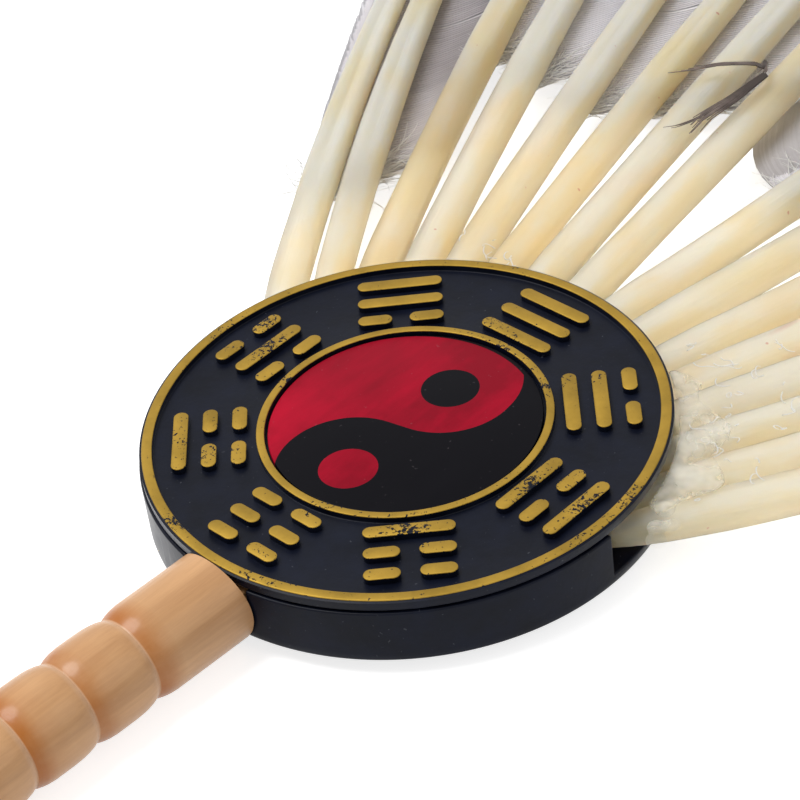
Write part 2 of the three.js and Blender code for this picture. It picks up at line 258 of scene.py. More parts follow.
def finish_piece(name, mesh, material, *, smooth=True, sharp=None, replaces=()):
    """Links a mesh as a piece of the fan that rides on its body.

    sharp is the angle in degrees from which the edges of a smooth piece stay hard."""
    mesh.name = name
    piece = bpy.data.objects.new(name, mesh)
    bpy.context.scene.collection.objects.link(piece)
    mesh.materials.clear()
    mesh.materials.append(material)
    if smooth:
        mesh.shade_smooth()
    if sharp:
        mesh.set_sharp_from_angle(angle=math.radians(sharp))
    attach(piece, BODY)
    if replaces:
        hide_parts(*replaces)
    return piece


def mesh_of(shape, name):
    """A bmesh made into a mesh, with its doubles merged and its faces turned outwards."""
    bmesh.ops.remove_doubles(shape, verts=shape.verts, dist=1e-6)
    bmesh.ops.recalc_face_normals(shape, faces=shape.faces)
    mesh = bpy.data.meshes.new(name)
    shape.to_mesh(mesh)
    shape.free()
    return mesh


def spun(profile, steps, angle=WHOLE_TURN):
    """A bmesh of a profile of (radius, height) in millimetres spun about Z from +X."""
    shape = bmesh.new()
    corners = [shape.verts.new((radius * MM, 0.0, height * MM)) for radius, height in profile]
    edges = [shape.edges.new(pair) for pair in zip(corners, corners[1:])]
    whole = angle >= WHOLE_TURN
    if not whole:
        edges.append(shape.edges.new((corners[-1], corners[0])))
    bmesh.ops.spin(
        shape, geom=corners + edges, cent=(0, 0, 0), axis=(0, 0, 1), angle=angle, steps=steps,
        use_merge=whole)
    bmesh.ops.remove_doubles(shape, verts=shape.verts, dist=1e-6)
    if not whole:
        bmesh.ops.holes_fill(shape, edges=[edge for edge in shape.edges if edge.is_boundary], sides=0)
    return shape


def share_of(value, start, end):
    """How far a value has come from a start to an end, held between 0 and 1."""
    return min(max((value - start) / (end - start), 0), 1)


def rounded(corner, into, out, radius, steps=4):
    """Points of a quarter round at a profile's corner, between its two unit directions."""
    (x, y), (ax, ay), (bx, by) = corner, into, out
    turns = [step / steps * math.pi / 2 for step in range(steps + 1)]
    return [
        (x + radius * (ax * (1 - math.sin(t)) + bx * (1 - math.cos(t))),
         y + radius * (ay * (1 - math.sin(t)) + by * (1 - math.cos(t))))
        for t in turns
    ]


def combined(pieces, operation="UNION"):
    """One mesh from several closed meshes, joined or cut by Blender's exact boolean."""
    holders = [bpy.data.objects.new("boolean_part", mesh) for mesh in pieces]
    for holder in holders:
        bpy.context.scene.collection.objects.link(holder)
    for other in holders[1:]:
        modifier = holders[0].modifiers.new("combine", "BOOLEAN")
        modifier.operation = operation
        modifier.solver = "EXACT"
        modifier.object = other
    graph = bpy.context.evaluated_depsgraph_get()
    mesh = bpy.data.meshes.new_from_object(holders[0].evaluated_get(graph))
    for holder in holders:
        bpy.data.objects.remove(holder)
    return mesh


def swept(name, paths, widths, outline):
    """One closed mesh of strands: paths in millimetres swept with an outline that stays level.

    widths holds each point's share of the outline's size. The points of one path give one
    ring of vertices each, in order, so values for the points can be spread on the mesh."""
    shape = bpy.data.curves.new(name + "_outline", "CURVE")
    ring = shape.splines.new("POLY")
    ring.points.add(len(outline) - 1)
    ring.points.foreach_set("co", [c for x, y in outline for c in (x * MM, y * MM, 0.0, 1.0)])
    ring.use_cyclic_u = True
    section = bpy.data.objects.new(name + "_outline", shape)
    strands = bpy.data.curves.new(name + "_strands", "CURVE")
    strands.dimensions = "3D"
    strands.twist_mode = "Z_UP"
    strands.bevel_mode = "OBJECT"
    strands.bevel_object = section
    for path, sizes in zip(paths, widths):
        spline = strands.splines.new("POLY")
        spline.points.add(len(path) - 1)
        spline.points.foreach_set("co", [c for p in path for c in (p[0] * MM, p[1] * MM, p[2] * MM, 1.0)])
        spline.points.foreach_set("radius", sizes)
    holder = bpy.data.objects.new(name + "_strands", strands)
    for item in (section, holder):
        bpy.context.scene.collection.objects.link(item)
    graph = bpy.context.evaluated_depsgraph_get()
    mesh = bpy.data.meshes.new_from_object(holder.evaluated_get(graph))
    for item in (holder, section):
        bpy.data.objects.remove(item)
    if len(mesh.vertices) != sum(len(path) for path in paths) * len(outline):
        raise RuntimeError(f"{name}: the swept strands have an unexpected number of points")
    closed = bmesh.new()
    closed.from_mesh(mesh)
    bmesh.ops.holes_fill(closed, edges=[edge for edge in closed.edges if edge.is_boundary], sides=0)
    bmesh.ops.recalc_face_normals(closed, faces=closed.faces)
    closed.to_mesh(mesh)
    closed.free()
    return mesh


def store(mesh, name, values, copies=1):
    """Stores one number for each point, repeated for the copies of it, as an attribute."""
    attribute = mesh.attributes.new(name, "FLOAT", "POINT")
    attribute.data.foreach_set("value", np.repeat(np.asarray(values, np.float32), copies))


# The hub

def moulded_plastic(name, base):
    """Injection-moulded black ABS: a satin skin with faint orange peel and a little dust."""
    material, tree, output = new_material(name)
    place = add(tree, "TexCoord").outputs["Object"]
    plastic = satin_black(tree, place, base)
    tree.links.new(plastic.outputs[0], output.inputs["Surface"])
    return material


def satin_black(tree, place, base):
    """The shader of the black ABS. Its gloss is low, as on a finely eroded mould."""
    mottle = noise(tree, place, 180.0, 6.0, 0.6)
    body = ramp(tree, mottle, (0.35, shaded(base, 0.8)), (0.7, shaded(base, 1.6)))
    specks = ramp(tree, noise(tree, place, 1500.0, 2.0), (0.71, BLACK), (0.77, WHITE))
    dusty = blend(tree, maths(tree, "MULTIPLY", specks, 0.16), body, linear("#8a8d96"))
    grazing = add(tree, "LayerWeight", {"Blend": 0.5}).outputs["Facing"]
    return add(tree, "BsdfPrincipled", {
        "Base Color": dusty, "Roughness": ranged(tree, mottle, 0.3, 0.7, 0.3, 0.42), "IOR": 1.53,
        "Specular IOR Level": ranged(tree, grazing, 0.5, 0.95, 0.11, 1.0),
        "Normal": bumpy(tree, noise(tree, place, 900.0, 3.0), 0.1, 0.3 * MM)})


def gilded_plastic(name, base, foil, foil_from, flat_from, worn_spots):
    """Black ABS hot-stamped with gold foil on all that stands above foil_from.

    The foil is flat and satin. It has black pin-pricks all over, more of them on the soft
    edges below flat_from, and it has rubbed off in scuffs near the worn spots, which are
    given as (x, y, radius) in millimetres."""
    material, tree, output = new_material(name)
    place = add(tree, "TexCoord").outputs["Object"]
    plastic = satin_black(tree, place, base)
    height = add(tree, "SeparateXYZ", {"Vector": place}).outputs["Z"]
    flat = in_plan(tree, place)
    rubbed = maths(tree, "MAXIMUM", ranged(tree, noise(tree, place, 75.0, 3.0), 0.45, 0.7, 0.0, 0.13),
                   ranged(tree, height, foil_from, flat_from, 0.13, 0.0))
    for x, y, radius in worn_spots:
        near = ranged(tree, away(tree, flat, x, y), 0.0, radius * MM, 0.24, 0.0)
        rubbed = maths(tree, "MAXIMUM", rubbed, near)
    # Pin-pricks are about 0.3 mm across, scuffs about 1 mm.
    gilded = maths(tree, "GREATER_THAN", height, foil_from)
    for scale, detail, roughness, start in ((1900.0, 2.0, 0.6, 0.742), (620.0, 6.0, 0.75, 0.74)):
        bare_from = maths(tree, "SUBTRACT", start, rubbed)
        whole = maths(tree, "LESS_THAN", noise(tree, place, scale, detail, roughness), bare_from)
        gilded = maths(tree, "MULTIPLY", gilded, whole)
    tone = noise(tree, place, 110.0, 6.0, 0.65)
    gold = add(tree, "BsdfPrincipled", {
        "Base Color": ramp(tree, tone, (0.32, shaded(foil, 0.72)), (0.62, shaded(foil, 1.08))),
        "Metallic": 1.0, "Roughness": 0.57})
    mixed = add(tree, "MixShader", {0: gilded, 1: plastic.outputs[0], 2: gold.outputs[0]})
    tree.links.new(mixed.outputs[0], output.inputs["Surface"])
    return material


class FanBackShell(bpy.types.Operator):
    """Black tray with a wall round the handle's half and a wide mouth for the quills"""

    bl_idname = "fan.back_shell"
    bl_label = "Back shell"

    # The wall's ends lie on whole facets of the floor, so that both meet flush.
    facets = 360
    notch = 9
    mouth = 90

    # Rounding under the floor and at the wall's ends, in millimetres, and the angle in degrees
    # from which an edge of the wall is rounded.
    chamfer = 0.4
    wall_edge = 0.28
    rounded_from = 60

    def execute(self, context):
        hub = context.scene.fan_hub
        radius, wall, floor, edge = (size / MM for size in (hub.radius, hub.wall, hub.floor, hub.edge))
        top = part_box("back_shell")[1].z / MM
        profile = [(0, 0)] + rounded((radius, 0), (-1, 0), (0, 1), self.chamfer)
        profile += rounded((radius, floor), (0, -1), (-1, 0), edge) + [(0, floor)]
        base = mesh_of(spun(profile, self.facets), "floor")
        walls = [self.wall(radius, wall, floor, top, side) for side in (-1, 1)]
        mesh = combined([base, *walls])
        material = moulded_plastic("black_abs_moulded", hub.plastic)
        finish_piece(
            "tray", mesh, material, sharp=50, replaces=["back_shell"])
        return {"FINISHED"}

    def wall(self, radius, wall, floor, top, side):
        """Half of the wall, with its end edges rounded, from the mouth to the handle's notch."""
        profile = [(radius - wall, floor / 2), (radius, floor / 2), (radius, top), (radius - wall, top)]
        steps = self.facets // 2 - self.notch - self.mouth
        shape = spun(profile, steps, steps * WHOLE_TURN / self.facets)
        limit = math.radians(self.rounded_from)
        sharp = [edge for edge in shape.edges if edge.is_manifold and edge.calc_face_angle() > limit]
        bmesh.ops.bevel(
            shape, geom=sharp, offset=self.wall_edge * MM, offset_type="OFFSET", segments=3, profile=0.5,
            affect="EDGES", clamp_overlap=True, material=-1)
        turn = math.radians(self.notch - 90 if side > 0 else 180)
        bmesh.ops.rotate(shape, verts=shape.verts, cent=(0, 0, 0), matrix=Matrix.Rotation(turn, 3, "Z"))
        return mesh_of(shape, "wall")


class FanFrontCover(bpy.types.Operator):
    """Black cover with two raised, gilded rims and the bars of eight trigrams"""

    bl_idname = "fan.front_cover"
    bl_label = "Front cover"

    # Each trigram's lines from the centre outwards, clockwise from the feather side.
    trigrams = ("111", "110", "101", "100", "000", "001", "010", "011")

    # Where the foil has rubbed off most: x, y and radius in millimetres.
    worn_spots = ((-10.5, -34.8, 4.5), (3.9, -20.6, 3.5), (0.4, 20.3, 3.5), (11.1, 16.9, 4),
                  (-27.7, 0.3, 6.5), (-31.4, 3.4, 5), (16.8, -16.6, 6.5), (16.3, 22.5, 1.8),
                  (23.6, -0.3, 6), (32.1, 1.0, 7), (37.3, 6.1, 6), (38.9, -3.8, 7), (-19.2, -3.5, 3))

    # Facets round the plate, and sides of the circle that makes a bar's two round ends.
    facets = 180
    bar_sides = 24

    # Millimetres: the adhesive under the disc, how far down the foil reaches, the rounding of
    # what stands up, of the seam and of the field's corners, how high the rims and bars stand,
    # how deep the bars are rooted, the spigot's radius and where the seam lies under the face.
    # The foil counts as flat down to skin under the face.
    skin = 0.01
    adhesive = 0.1
    foil_depth = 0.13
    soft_edge = 0.13
    seam_edge = 0.2
    field_edge = 0.15
    relief = 1.0
    root = 0.4
    spigot = 35.4
    seam_depth = 1.6

    def execute(self, context):
        hub = context.scene.fan_hub
        low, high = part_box("front_cover")
        self.face = high.z / MM
        self.field = self.face - self.relief
        plate = mesh_of(spun(self.profile(hub, low.z / MM), self.facets), "plate")
        shape = bmesh.new()
        shape.from_mesh(plate)
        for place, lines in enumerate(self.trigrams):
            for row, line in enumerate(lines):
                self.add_line(shape, hub, place * WHOLE_TURN / len(self.trigrams), row, line == "1")
        mesh = bpy.data.meshes.new("cover")
        shape.to_mesh(mesh)
        shape.free()
        material = gilded_plastic(
            "black_abs_with_gold_foil", hub.plastic, hub.foil, (self.face - self.foil_depth) * MM,
            (self.face - self.skin) * MM, self.worn_spots)
        finish_piece(
            "cover", mesh, material, sharp=60, replaces=["front_cover"])
        return {"FINISHED"}

    def profile(self, hub, low):
        """The cover's profile from its inner floor, over the rims, to the disc's recess."""
        face, field, spigot = self.face, self.field, self.spigot
        outer, seam = hub.cover_radius / MM, face - self.seam_depth
        rim, ring = hub.rim_outer / MM, hub.ring_inner / MM
        rim_in = rim - hub.rim_width / MM
        ring_out = ring + hub.ring_width / MM
        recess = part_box("yin_yang_insert")[0].z / MM - self.adhesive
        soft, seam_edge, field_edge = self.soft_edge, self.seam_edge, self.field_edge
        points = [(0, low), (spigot, low), (spigot, seam)]
        points += rounded((outer, seam), (-1, 0), (0, 1), seam_edge)
        points += [(outer, face - hub.edge / MM)] + rounded((rim, face), (0, -1), (-1, 0), seam_edge)
        points += rounded((rim_in, face), (1, 0), (0, -1), soft)
        points += rounded((rim_in, field), (0, 1), (-1, 0), field_edge)
        points += rounded((ring_out, field), (1, 0), (0, 1), field_edge)
        points += rounded((ring_out, face), (0, -1), (-1, 0), soft)
        points += rounded((ring, face), (1, 0), (0, -1), soft)
        return points + [(ring, recess), (0, recess)]

    def add_line(self, shape, hub, turn, row, whole):
        """One line of a trigram: a whole bar, or two short ones with a gap."""
        full, gap = hub.bar_length / MM, hub.bar_split / MM
        half = (full - gap) / 2
        radius = (hub.first_row + row * hub.row_pitch) / MM
        for size, offset in [(full, 0)] if whole else [(half, -(gap + half) / 2), (half, (gap + half) / 2)]:
            made = self.bar(shape, size, hub.bar_width / MM)
            bmesh.ops.translate(shape, verts=made, vec=(offset * MM, radius * MM, 0))
            bmesh.ops.rotate(
                shape, verts=made, cent=(0, 0, 0), matrix=Matrix.Rotation(-turn, 3, "Z"))

    def bar(self, shape, size, width):
        """A round-ended bar with slanting sides and a rounded top; returns its vertices."""
        before = set(shape.verts)
        foot = self.field - self.root
        made = bmesh.ops.create_circle(
            shape, cap_ends=True, radius=width / 2 * MM, segments=self.bar_sides,
            matrix=Matrix.Translation((0, 0, foot * MM))
            @ Matrix.Rotation(math.pi / self.bar_sides, 4, "Z"))
        reach = (size - width) / 2 * MM
        for sign in (-1, 1):
            half = [v for v in made["verts"] if v.co.x * sign > 0]
            bmesh.ops.translate(shape, verts=half, vec=(sign * reach, 0, 0))
        base = made["verts"][0].link_faces[0]
        top = bmesh.ops.extrude_face_region(shape, geom=[base])["geom"]
        lid = [item for item in top if isinstance(item, bmesh.types.BMFace)][0]
        bmesh.ops.translate(shape, verts=lid.verts, vec=(0, 0, (self.face - foot) * MM))
        bmesh.ops.bevel(
            shape, geom=list(lid.edges), offset=self.soft_edge * MM, offset_type="OFFSET", segments=3,
            profile=0.5, affect="EDGES", clamp_overlap=True, material=-1)
        fresh = [v for v in shape.verts if v not in before]
        bmesh.ops.recalc_face_normals(shape, faces=list({f for v in fresh for f in v.link_faces}))
        return fresh


def printed_film(hub):
    """Offset-printed disc: crimson and black inks under a satin film, rubbed and a little streaked."""
    material, tree, output = new_material("printed_disc_film")
    place = add(tree, "TexCoord").outputs["Object"]
    flat = in_plan(tree, place)

    def inside(x, y, radius):
        """1 within a circle of the print, in millimetres."""
        return maths(tree, "LESS_THAN", away(tree, flat, x, y), radius * MM)

    # The halves meet in two rounds with a short straight piece between them, which lies 11
    # degrees off the handle's square. The piece's middle is given along it and across it.
    middle = (-0.36 * MM, -1.22 * MM)
    by, up = along(tree, flat, (0.981, 0.195, 0)), along(tree, flat, (-0.195, 0.981, 0))
    left = maths(tree, "LESS_THAN", by, middle[0])
    head = maths(tree, "MAXIMUM", inside(-0.36, 9.09, 10.2), inside(-1.1, 9.7, 10.85))
    with_head = maths(tree, "MAXIMUM", left, head)
    tail = maths(tree, "SUBTRACT", with_head, inside(0.13, -11.62, 10.2), use_clamp=True)
    between = maths(tree, "COMPARE", by, middle[0], 1.78 * MM)
    beside = maths(tree, "COMPARE", up, middle[1], 3 * MM)
    straight = maths(tree, "MULTIPLY", between, beside)
    over = maths(tree, "GREATER_THAN", up, middle[1])
    body = add(tree, "Mix", {"Factor": straight, "A": tail, "B": over}).outputs["Result"]
    dark_eye = maths(tree, "SUBTRACT", body, inside(0.26, 8.97, 4.15))
    red_eye = maths(tree, "MAXIMUM", add(tree, "Clamp", {"Value": dark_eye}).outputs[0],
                    inside(0.74, -12.1, 4.15))
    red_at = maths(tree, "MULTIPLY", red_eye, inside(-0.43, -0.34, 18.98))

    # The red is lighter towards its lower left and darker away from it, and a few broad smudges darken it.
    drawn = stretched(tree, place, (1, 0.25, 1), Rotation=(0, 0, 0.6))
    streaks = noise(tree, drawn, 160.0, 8.0, 0.65)
    fresh = ranged(tree, away(tree, flat, -13, -12), 0.0, 15 * MM, 0.14, -0.1)
    smudged = ranged(tree, noise(tree, place, 85.0, 5.0, 0.6), 0.5, 0.72, 0.0, -0.22)
    ink_unevenness = maths(tree, "ADD", streaks, maths(tree, "ADD", fresh, smudged))
    crimson = ramp(tree, ink_unevenness, (0.26, shaded(hub.crimson, 0.6)), (0.74, shaded(hub.crimson, 1.12)))
    inks = blend(tree, red_at, list(hub.ink), crimson)
    specks = ramp(tree, noise(tree, place, 1300.0, 2.0), (0.72, BLACK), (0.78, WHITE))
    dusty = blend(tree, maths(tree, "MULTIPLY", specks, 0.12), inks, linear("#9a9096"))
    film = add(tree, "BsdfPrincipled", {
        "Base Color": dusty, "Roughness": ranged(tree, streaks, 0.3, 0.7, 0.3, 0.46), "IOR": 1.5,
        "Specular IOR Level": 0.06})
    tree.links.new(film.outputs[0], output.inputs["Surface"])
    return material


class FanPrintedDisc(bpy.types.Operator):
    """Printed red and black disc let into the cover"""

    bl_idname = "fan.printed_disc"
    bl_label = "Printed disc"

    # Facets round the disc, and the rounding of its edge in millimetres.
    facets = 144
    edge = 0.15

    def execute(self, context):
        low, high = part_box("yin_yang_insert")
        radius, bottom, top = high.x / MM, low.z / MM, high.z / MM
        edge = rounded((radius, top), (0, -1), (-1, 0), self.edge)
        profile = [(0, bottom), (radius, bottom)] + edge + [(0, top)]
        mesh = mesh_of(spun(profile, self.facets), "disc")
        finish_piece(
            "printed_disc", mesh, printed_film(context.scene.fan_hub), sharp=50,
            replaces=["yin_yang_insert"])
        return {"FINISHED"}


# The handle

def varnished_beech(handle):
    """Turned beech under a thin clear varnish: fine grain along the handle, orange beside the grooves.

    The attribute stain is 1 where the varnish has gathered, and painted_crest_highlight is 1 on the
    crest at each groove, where a pale line is painted as a highlight."""
    material, tree, output = new_material("varnished_beech")
    place = add(tree, "TexCoord").outputs["Object"]
    drawn = stretched(tree, place, (1.0, 0.06, 1.0), Rotation=(0, 0, -FanHandle.lean))
    broad = add(tree, "TexNoise", {"Vector": drawn, "Scale": 230.0, "Detail": 5.0, "Distortion": 0.5})
    fine = add(tree, "TexNoise", {"Vector": drawn, "Scale": 1500.0, "Detail": 4.0, "Roughness": 0.7})
    grain = blend(tree, 0.25, broad.outputs["Color"], fine.outputs["Color"])
    wood = ramp(tree, grain, (0.33, list(handle.dark)), (0.6, list(handle.light)))
    gathered = stored(tree, "stain")
    patchy = ranged(tree, noise(tree, place, 140.0, 4.0), 0.3, 0.6, 0.45, 1.0)
    stained = blend(tree, maths(tree, "MULTIPLY", gathered, patchy), wood, list(handle.stain))
    # Painted highlight: a pale line on the crest at each groove.
    with_painted_crest_highlight = blend(tree, stored(tree, "painted_crest_highlight"), stained, linear("#dcb99a"))
    # Fine rings that the tool left on the slopes of the grooves.
    rings = noise(tree, stretched(tree, place, (0.04, 1.0, 0.04)), 1800.0, 2.0)
    cut = maths(tree, "MULTIPLY", rings, gathered)
    height = maths(tree, "MULTIPLY_ADD", cut, 2.5, fine.outputs["Fac"])
    lacquer = add(tree, "BsdfPrincipled", {
        "Base Color": with_painted_crest_highlight, "Roughness": 0.5, "IOR": 1.5, "Specular IOR Level": 0.3,
        "Coat Weight": 0.45, "Coat Roughness": 0.2, "Normal": bumpy(tree, height, 0.12, 0.4 * MM)})
    tree.links.new(lacquer.outputs[0], output.inputs["Surface"])
    return material


class FanHandle(bpy.types.Operator):
    """Turned wooden handle, scooped to the hub's rim, with a flat tenon inside the hub"""

    bl_idname = "fan.handle"
    bl_label = "Handle"

    # One bead: share of the pitch and share of the groove's depth that the wood stands up.
    bead = ((0.0, 0.0), (0.03, 0.26), (0.09, 0.55), (0.16, 0.75), (0.24, 0.9), (0.33, 0.97), (0.42, 1.0),
            (0.7, 1.0), (0.8, 0.88), (0.88, 0.66), (0.94, 0.4), (0.98, 0.16))

    # The end of the collar, before its first groove: share of its length and of the groove's depth.
    collar_end = ((0.72, 1.0), (0.8, 1.0), (0.86, 0.88), (0.91, 0.68), (0.95, 0.42), (0.985, 0.16))

    # Lengths in millimetres of the plain collar at the hub, of the knob, and of the barrel's
    # end inside the hub, how far the scoop clears the rim, and the levels between which it cuts.
    collar = 15.5
    knob = 7.5
    buried = 6
    clearance = 0.3
    scoop_levels = (-20, 30)

    # Size of the tenon, how far its end lies inside the rim, its level and its rounding.
    tongue = (10.4, 23, 5.6)
    tongue_end = 21
    tongue_level = 4.7
    tongue_edge = 0.4

    # The whole handle leans off the hub's square by this angle.
    lean = math.radians(-1.4)

    # Facets round the barrel and the scoop, steps of the knob's dome, and the bead's points up
    # to its crest.
    barrel_facets = 72
    scoop_facets = 180
    dome_steps = 12
    crest = 7

    # Where in a bead the varnish starts to gather and has gathered, how far the painted highlight
    # on the crest reaches, how strong it is, and how near the hub nothing of this shows, in millimetres.
    gathers = (0.62, 0.9)
    crest_end = 0.07
    crest_highlight_strength = 0.6
    plain = 5

    # Share of a bead by which a point may fall short of it and still count as its first.
    border = 0.001

    def execute(self, context):
        handle = context.scene.fan_handle
        rim = context.scene.fan_hub.radius / MM
        barrel = spun(self.profile(handle), self.barrel_facets)
        yaw = Matrix.Rotation(self.lean, 4, "Z")
        lying = Matrix.Translation((0, -rim * MM, handle.rise)) @ yaw @ Matrix.Rotation(math.pi / 2, 4, "X")
        bmesh.ops.transform(barrel, matrix=lying, verts=barrel.verts)
        clear = rim + self.clearance
        low, high = self.scoop_levels
        scoop = spun([(0, low), (clear, low), (clear, high), (0, high)], self.scoop_facets)
        turned = combined([mesh_of(barrel, "barrel"), mesh_of(scoop, "scoop")], "DIFFERENCE")
        mesh = combined([turned, self.tenon(rim, yaw)])
        self.mark_grooves(mesh, handle, rim, yaw)
        finish_piece(
            "turned_handle", mesh, varnished_beech(handle), sharp=40, replaces=["handle"])
        return {"FINISHED"}

    def profile(self, handle):
        """Radius and distance from the shoulder, in millimetres, to the knob's rounded end."""
        sizes = handle.radius, handle.groove, handle.pitch, handle.length
        full, depth, pitch, end = (size / MM for size in sizes)
        collar, knob = self.collar, self.knob
        small = full - depth
        points = [(0, -self.buried), (full, -self.buried)]
        points += [(small + depth * rise, place * collar) for place, rise in self.collar_end]
        count = int((end - collar - knob) // pitch)
        for bead in range(count):
            points += [(small + depth * rise, collar + (bead + place) * pitch) for place, rise in self.bead]
        start = collar + count * pitch
        points += [(small + depth * rise, start + place * pitch) for place, rise in self.bead[:self.crest]]
        dome = points[-1][1]
        for step in range(1, self.dome_steps):
            angle = step / self.dome_steps * math.pi / 2
            points.append((full * math.cos(angle), dome + (end - dome) * math.sin(angle)))
        return points + [(0, end)]

    def tenon(self, rim, yaw):
        """The flat tongue that lies between the tray's floor and the cover."""
        shape = bmesh.new()
        bmesh.ops.create_cube(shape, size=1.0)
        bmesh.ops.scale(shape, verts=shape.verts, vec=Vector(self.tongue) * MM)
        bmesh.ops.bevel(
            shape, geom=list(shape.edges), offset=self.tongue_edge * MM, offset_type="OFFSET", segments=2,
            profile=0.5, affect="EDGES", clamp_overlap=True, material=-1)
        middle = self.tongue_end - self.tongue[1] / 2
        bmesh.ops.translate(shape, verts=shape.verts, vec=(0, middle * MM, 0))
        place = Matrix.Translation((0, -rim * MM, self.tongue_level * MM))
        bmesh.ops.transform(shape, matrix=place @ yaw, verts=shape.verts)
        return mesh_of(shape, "tenon")

    def mark_grooves(self, mesh, handle, rim, yaw):
        """Stores where varnish has gathered, before each groove, and the painted highlight on the crest
        behind it.
        """
        back = (Matrix.Translation((0, -rim * MM, handle.rise)) @ yaw).inverted()
        pitch = handle.pitch / MM
        beads = (handle.length / MM - self.collar) // pitch
        stains, painted_crest_highlights = [], []
        for vertex in mesh.vertices:
            reach = -(back @ vertex.co).y / MM
            turned = (reach - self.collar) / pitch + self.border
            place = turned % 1 if turned > 0 else 1 + turned
            within = reach > self.plain and turned < beads
            stains.append(share_of(place, *self.gathers) if within else 0)
            on_crest = within and turned > 0
            painted_crest_highlights.append(self.crest_highlight_strength * max(1 - place / self.crest_end, 0) if on_crest else 0)
        store(mesh, "stain", stains)
        store(mesh, "painted_crest_highlight", painted_crest_highlights)


# The feathers

class Feather:
    """Where one feather lies: its middle line in plan and the dish that all of them follow.

    Sizes are in millimetres. The quills cross a circle round the hub at the given places
    along it, lean in from straight out and bend on towards the fan's middle line."""

    # Radius of the circle, how far the quills reach inside it, the level of their middle line
    # there, how far the dish lifts the longest feather's tip, and the radii of a shaft's tip
    # and of a quill's inner end.
    circle = 46.0
    inside = 16.0
    rise = 4.7
    tip_lift = 14.0
    tip_radius = 0.4
    end_radius = 1.75

    # How a shaft thins towards its tip, as a power of its length, and how the quill grows from
    # its inner end to the circle, as places and shares of the growth.
    taper = 1.35
    growth = ((0, 0), (0.25, 0.5), (0.5, 0.75), (1, 1))

    # Each side's feathers from the middle outwards: place along the circle, lean and bend in
    # degrees, share of the full length and of the bare length, and tone of the vanes.
    places = {-1: (4.1, 11.55, 18.4, 25.2, 31.85, 38.85, 46.25, 53.8),
              1: (4.35, 11.5, 19.25, 26, 32.75, 40.45, 48.15, 55.9)}
    leans = {-1: (-3.9, 2.4, 7.9, 11.4, 13.7, 19.9, 22, 31.5),
             1: (0, 3.7, 8.6, 11.4, 15.3, 22.4, 29, 35.1)}
    bends = {-1: (4, 5, 6, 7.5, 9.5, 11, 16, 15),
             1: (4, 5, 6, 7.5, 9.5, 11, 13.5, 16)}
    length_shares = (1, 0.995, 0.985, 0.97, 0.955, 0.94, 0.925, 0.9)
    bare_shares = {-1: (1, 0.83, 0.75, 0.72, 0.85, 0.97, 0.45, 0.43),
                   1: (0.58, 0.7, 0.75, 0.7, 0.72, 0.67, 0.47, 0.42)}
    tones = {-1: (0.1, 0.06, 0.0, 0.02, 0.02, 0.04, 0.6, 0.34),
             1: (0.22, 0.12, 0.06, 0.18, 0.08, 0.22, 0.1, 0.28)}

    # How much more honey-coloured than the others a quill is.
    warmths = {-1: (0.1, 0.0, 0.35, 0.12, 0.05, 0.38, 0.12, 0.0),
               1: (0.05, 0.0, -0.08, 0.0, -0.22, -0.1, -0.15, -0.1)}

    # The first feather on the right has a wide vane that starts broad, with barbs that spread
    # out more squarely. The value is the share of its greatest width that it has at least, up
    # to foot_end as a share of its length.
    broad_feet = {(1, 0): 0.76}
    foot_end = 0.5

    # Length of the bare quill, greatest widths of both vanes, and their outline as places along
    # the vane and shares of the width. A vane laps over or clears the next shaft by lap. Its
    # width is worked out at width_stops places.
    bare_length = 60.0
    wide = 27.0
    narrow = 7.0
    lap = 0.5
    width_stops = 60
    outline = ((0, 0.1), (0.04, 0.42), (0.14, 0.62), (0.3, 0.76), (0.48, 0.9), (0.66, 1), (0.82, 0.95),
               (0.92, 0.76), (0.97, 0.5), (1, 0.14))

    # How far over the shaft's underside the vanes are rooted, and their slopes towards the
    # fan's middle: of the narrow vane, of the wide one, and of the wide one of the two middle
    # feathers, left and right, where one lies over the other.
    vane_root = 0.22
    narrow_slope = -0.1
    wide_slope = -0.125
    middle_slopes = {-1: 0.05, 1: -0.06}

    def __init__(self, side, index, settings):
        self.side, self.index = side, index
        self.name = f"feather_{'left' if side < 0 else 'right'}_{index + 1}"
        self.radius = settings.quill_radius / MM
        self.long = settings.feather_length / MM
        self.broad_foot = self.broad_feet.get((side, index), 0)
        place = side * self.places[side][index] / self.circle
        self.heading = place - side * math.radians(self.leans[side][index])
        self.bend = side * math.radians(self.bends[side][index])
        self.length = self.long * self.length_shares[index]
        self.start = Vector((math.sin(place), math.cos(place))) * self.circle
        self.bare = self.bare_length * self.bare_shares[side][index]
        self.tone = self.tones[side][index]
        self.warmth = self.warmths[side][index]
        self.line = [self.at(step / 100 * self.length)[0] for step in range(-10, 101)]

    def at(self, distance):
        """Place in plan and heading at a distance beyond the circle."""
        turn = self.heading - self.bend * max(distance, 0) / self.length
        middle = (self.heading + turn) / 2
        return self.start + Vector((math.sin(middle), math.cos(middle))) * distance, turn

    def lift(self, plan):
        """How far the dish has risen at a place in plan."""
        return self.tip_lift * (max(plan.length - self.circle, 0) / self.long) ** 2

    def point(self, distance, across, height):
        """A point beside the middle line; across is positive towards the fan's middle."""
        plan, turn = self.at(distance)
        inward = -self.side * across
        spot = plan + Vector((math.cos(turn), -math.sin(turn))) * inward
        return Vector((spot.x, spot.y, self.rise + height + self.lift(spot)))

    def shaft(self, distance):
        """Radius of the quill or shaft at a distance."""
        if distance < 0:
            grown = np.interp(1 + distance / self.inside, *zip(*self.growth))
            return self.end_radius + grown * (self.radius - self.end_radius)
        thinned = share_of(distance, self.bare, self.length) ** self.taper
        return self.tip_radius + (self.radius - self.tip_radius) * (1 - thinned)

    def set_widths(self, inner, outer):
        """Works out how wide each vane may be, held back by the shafts beside it."""
        def gap(line, plan):
            return min((plan - other).length for other in line)

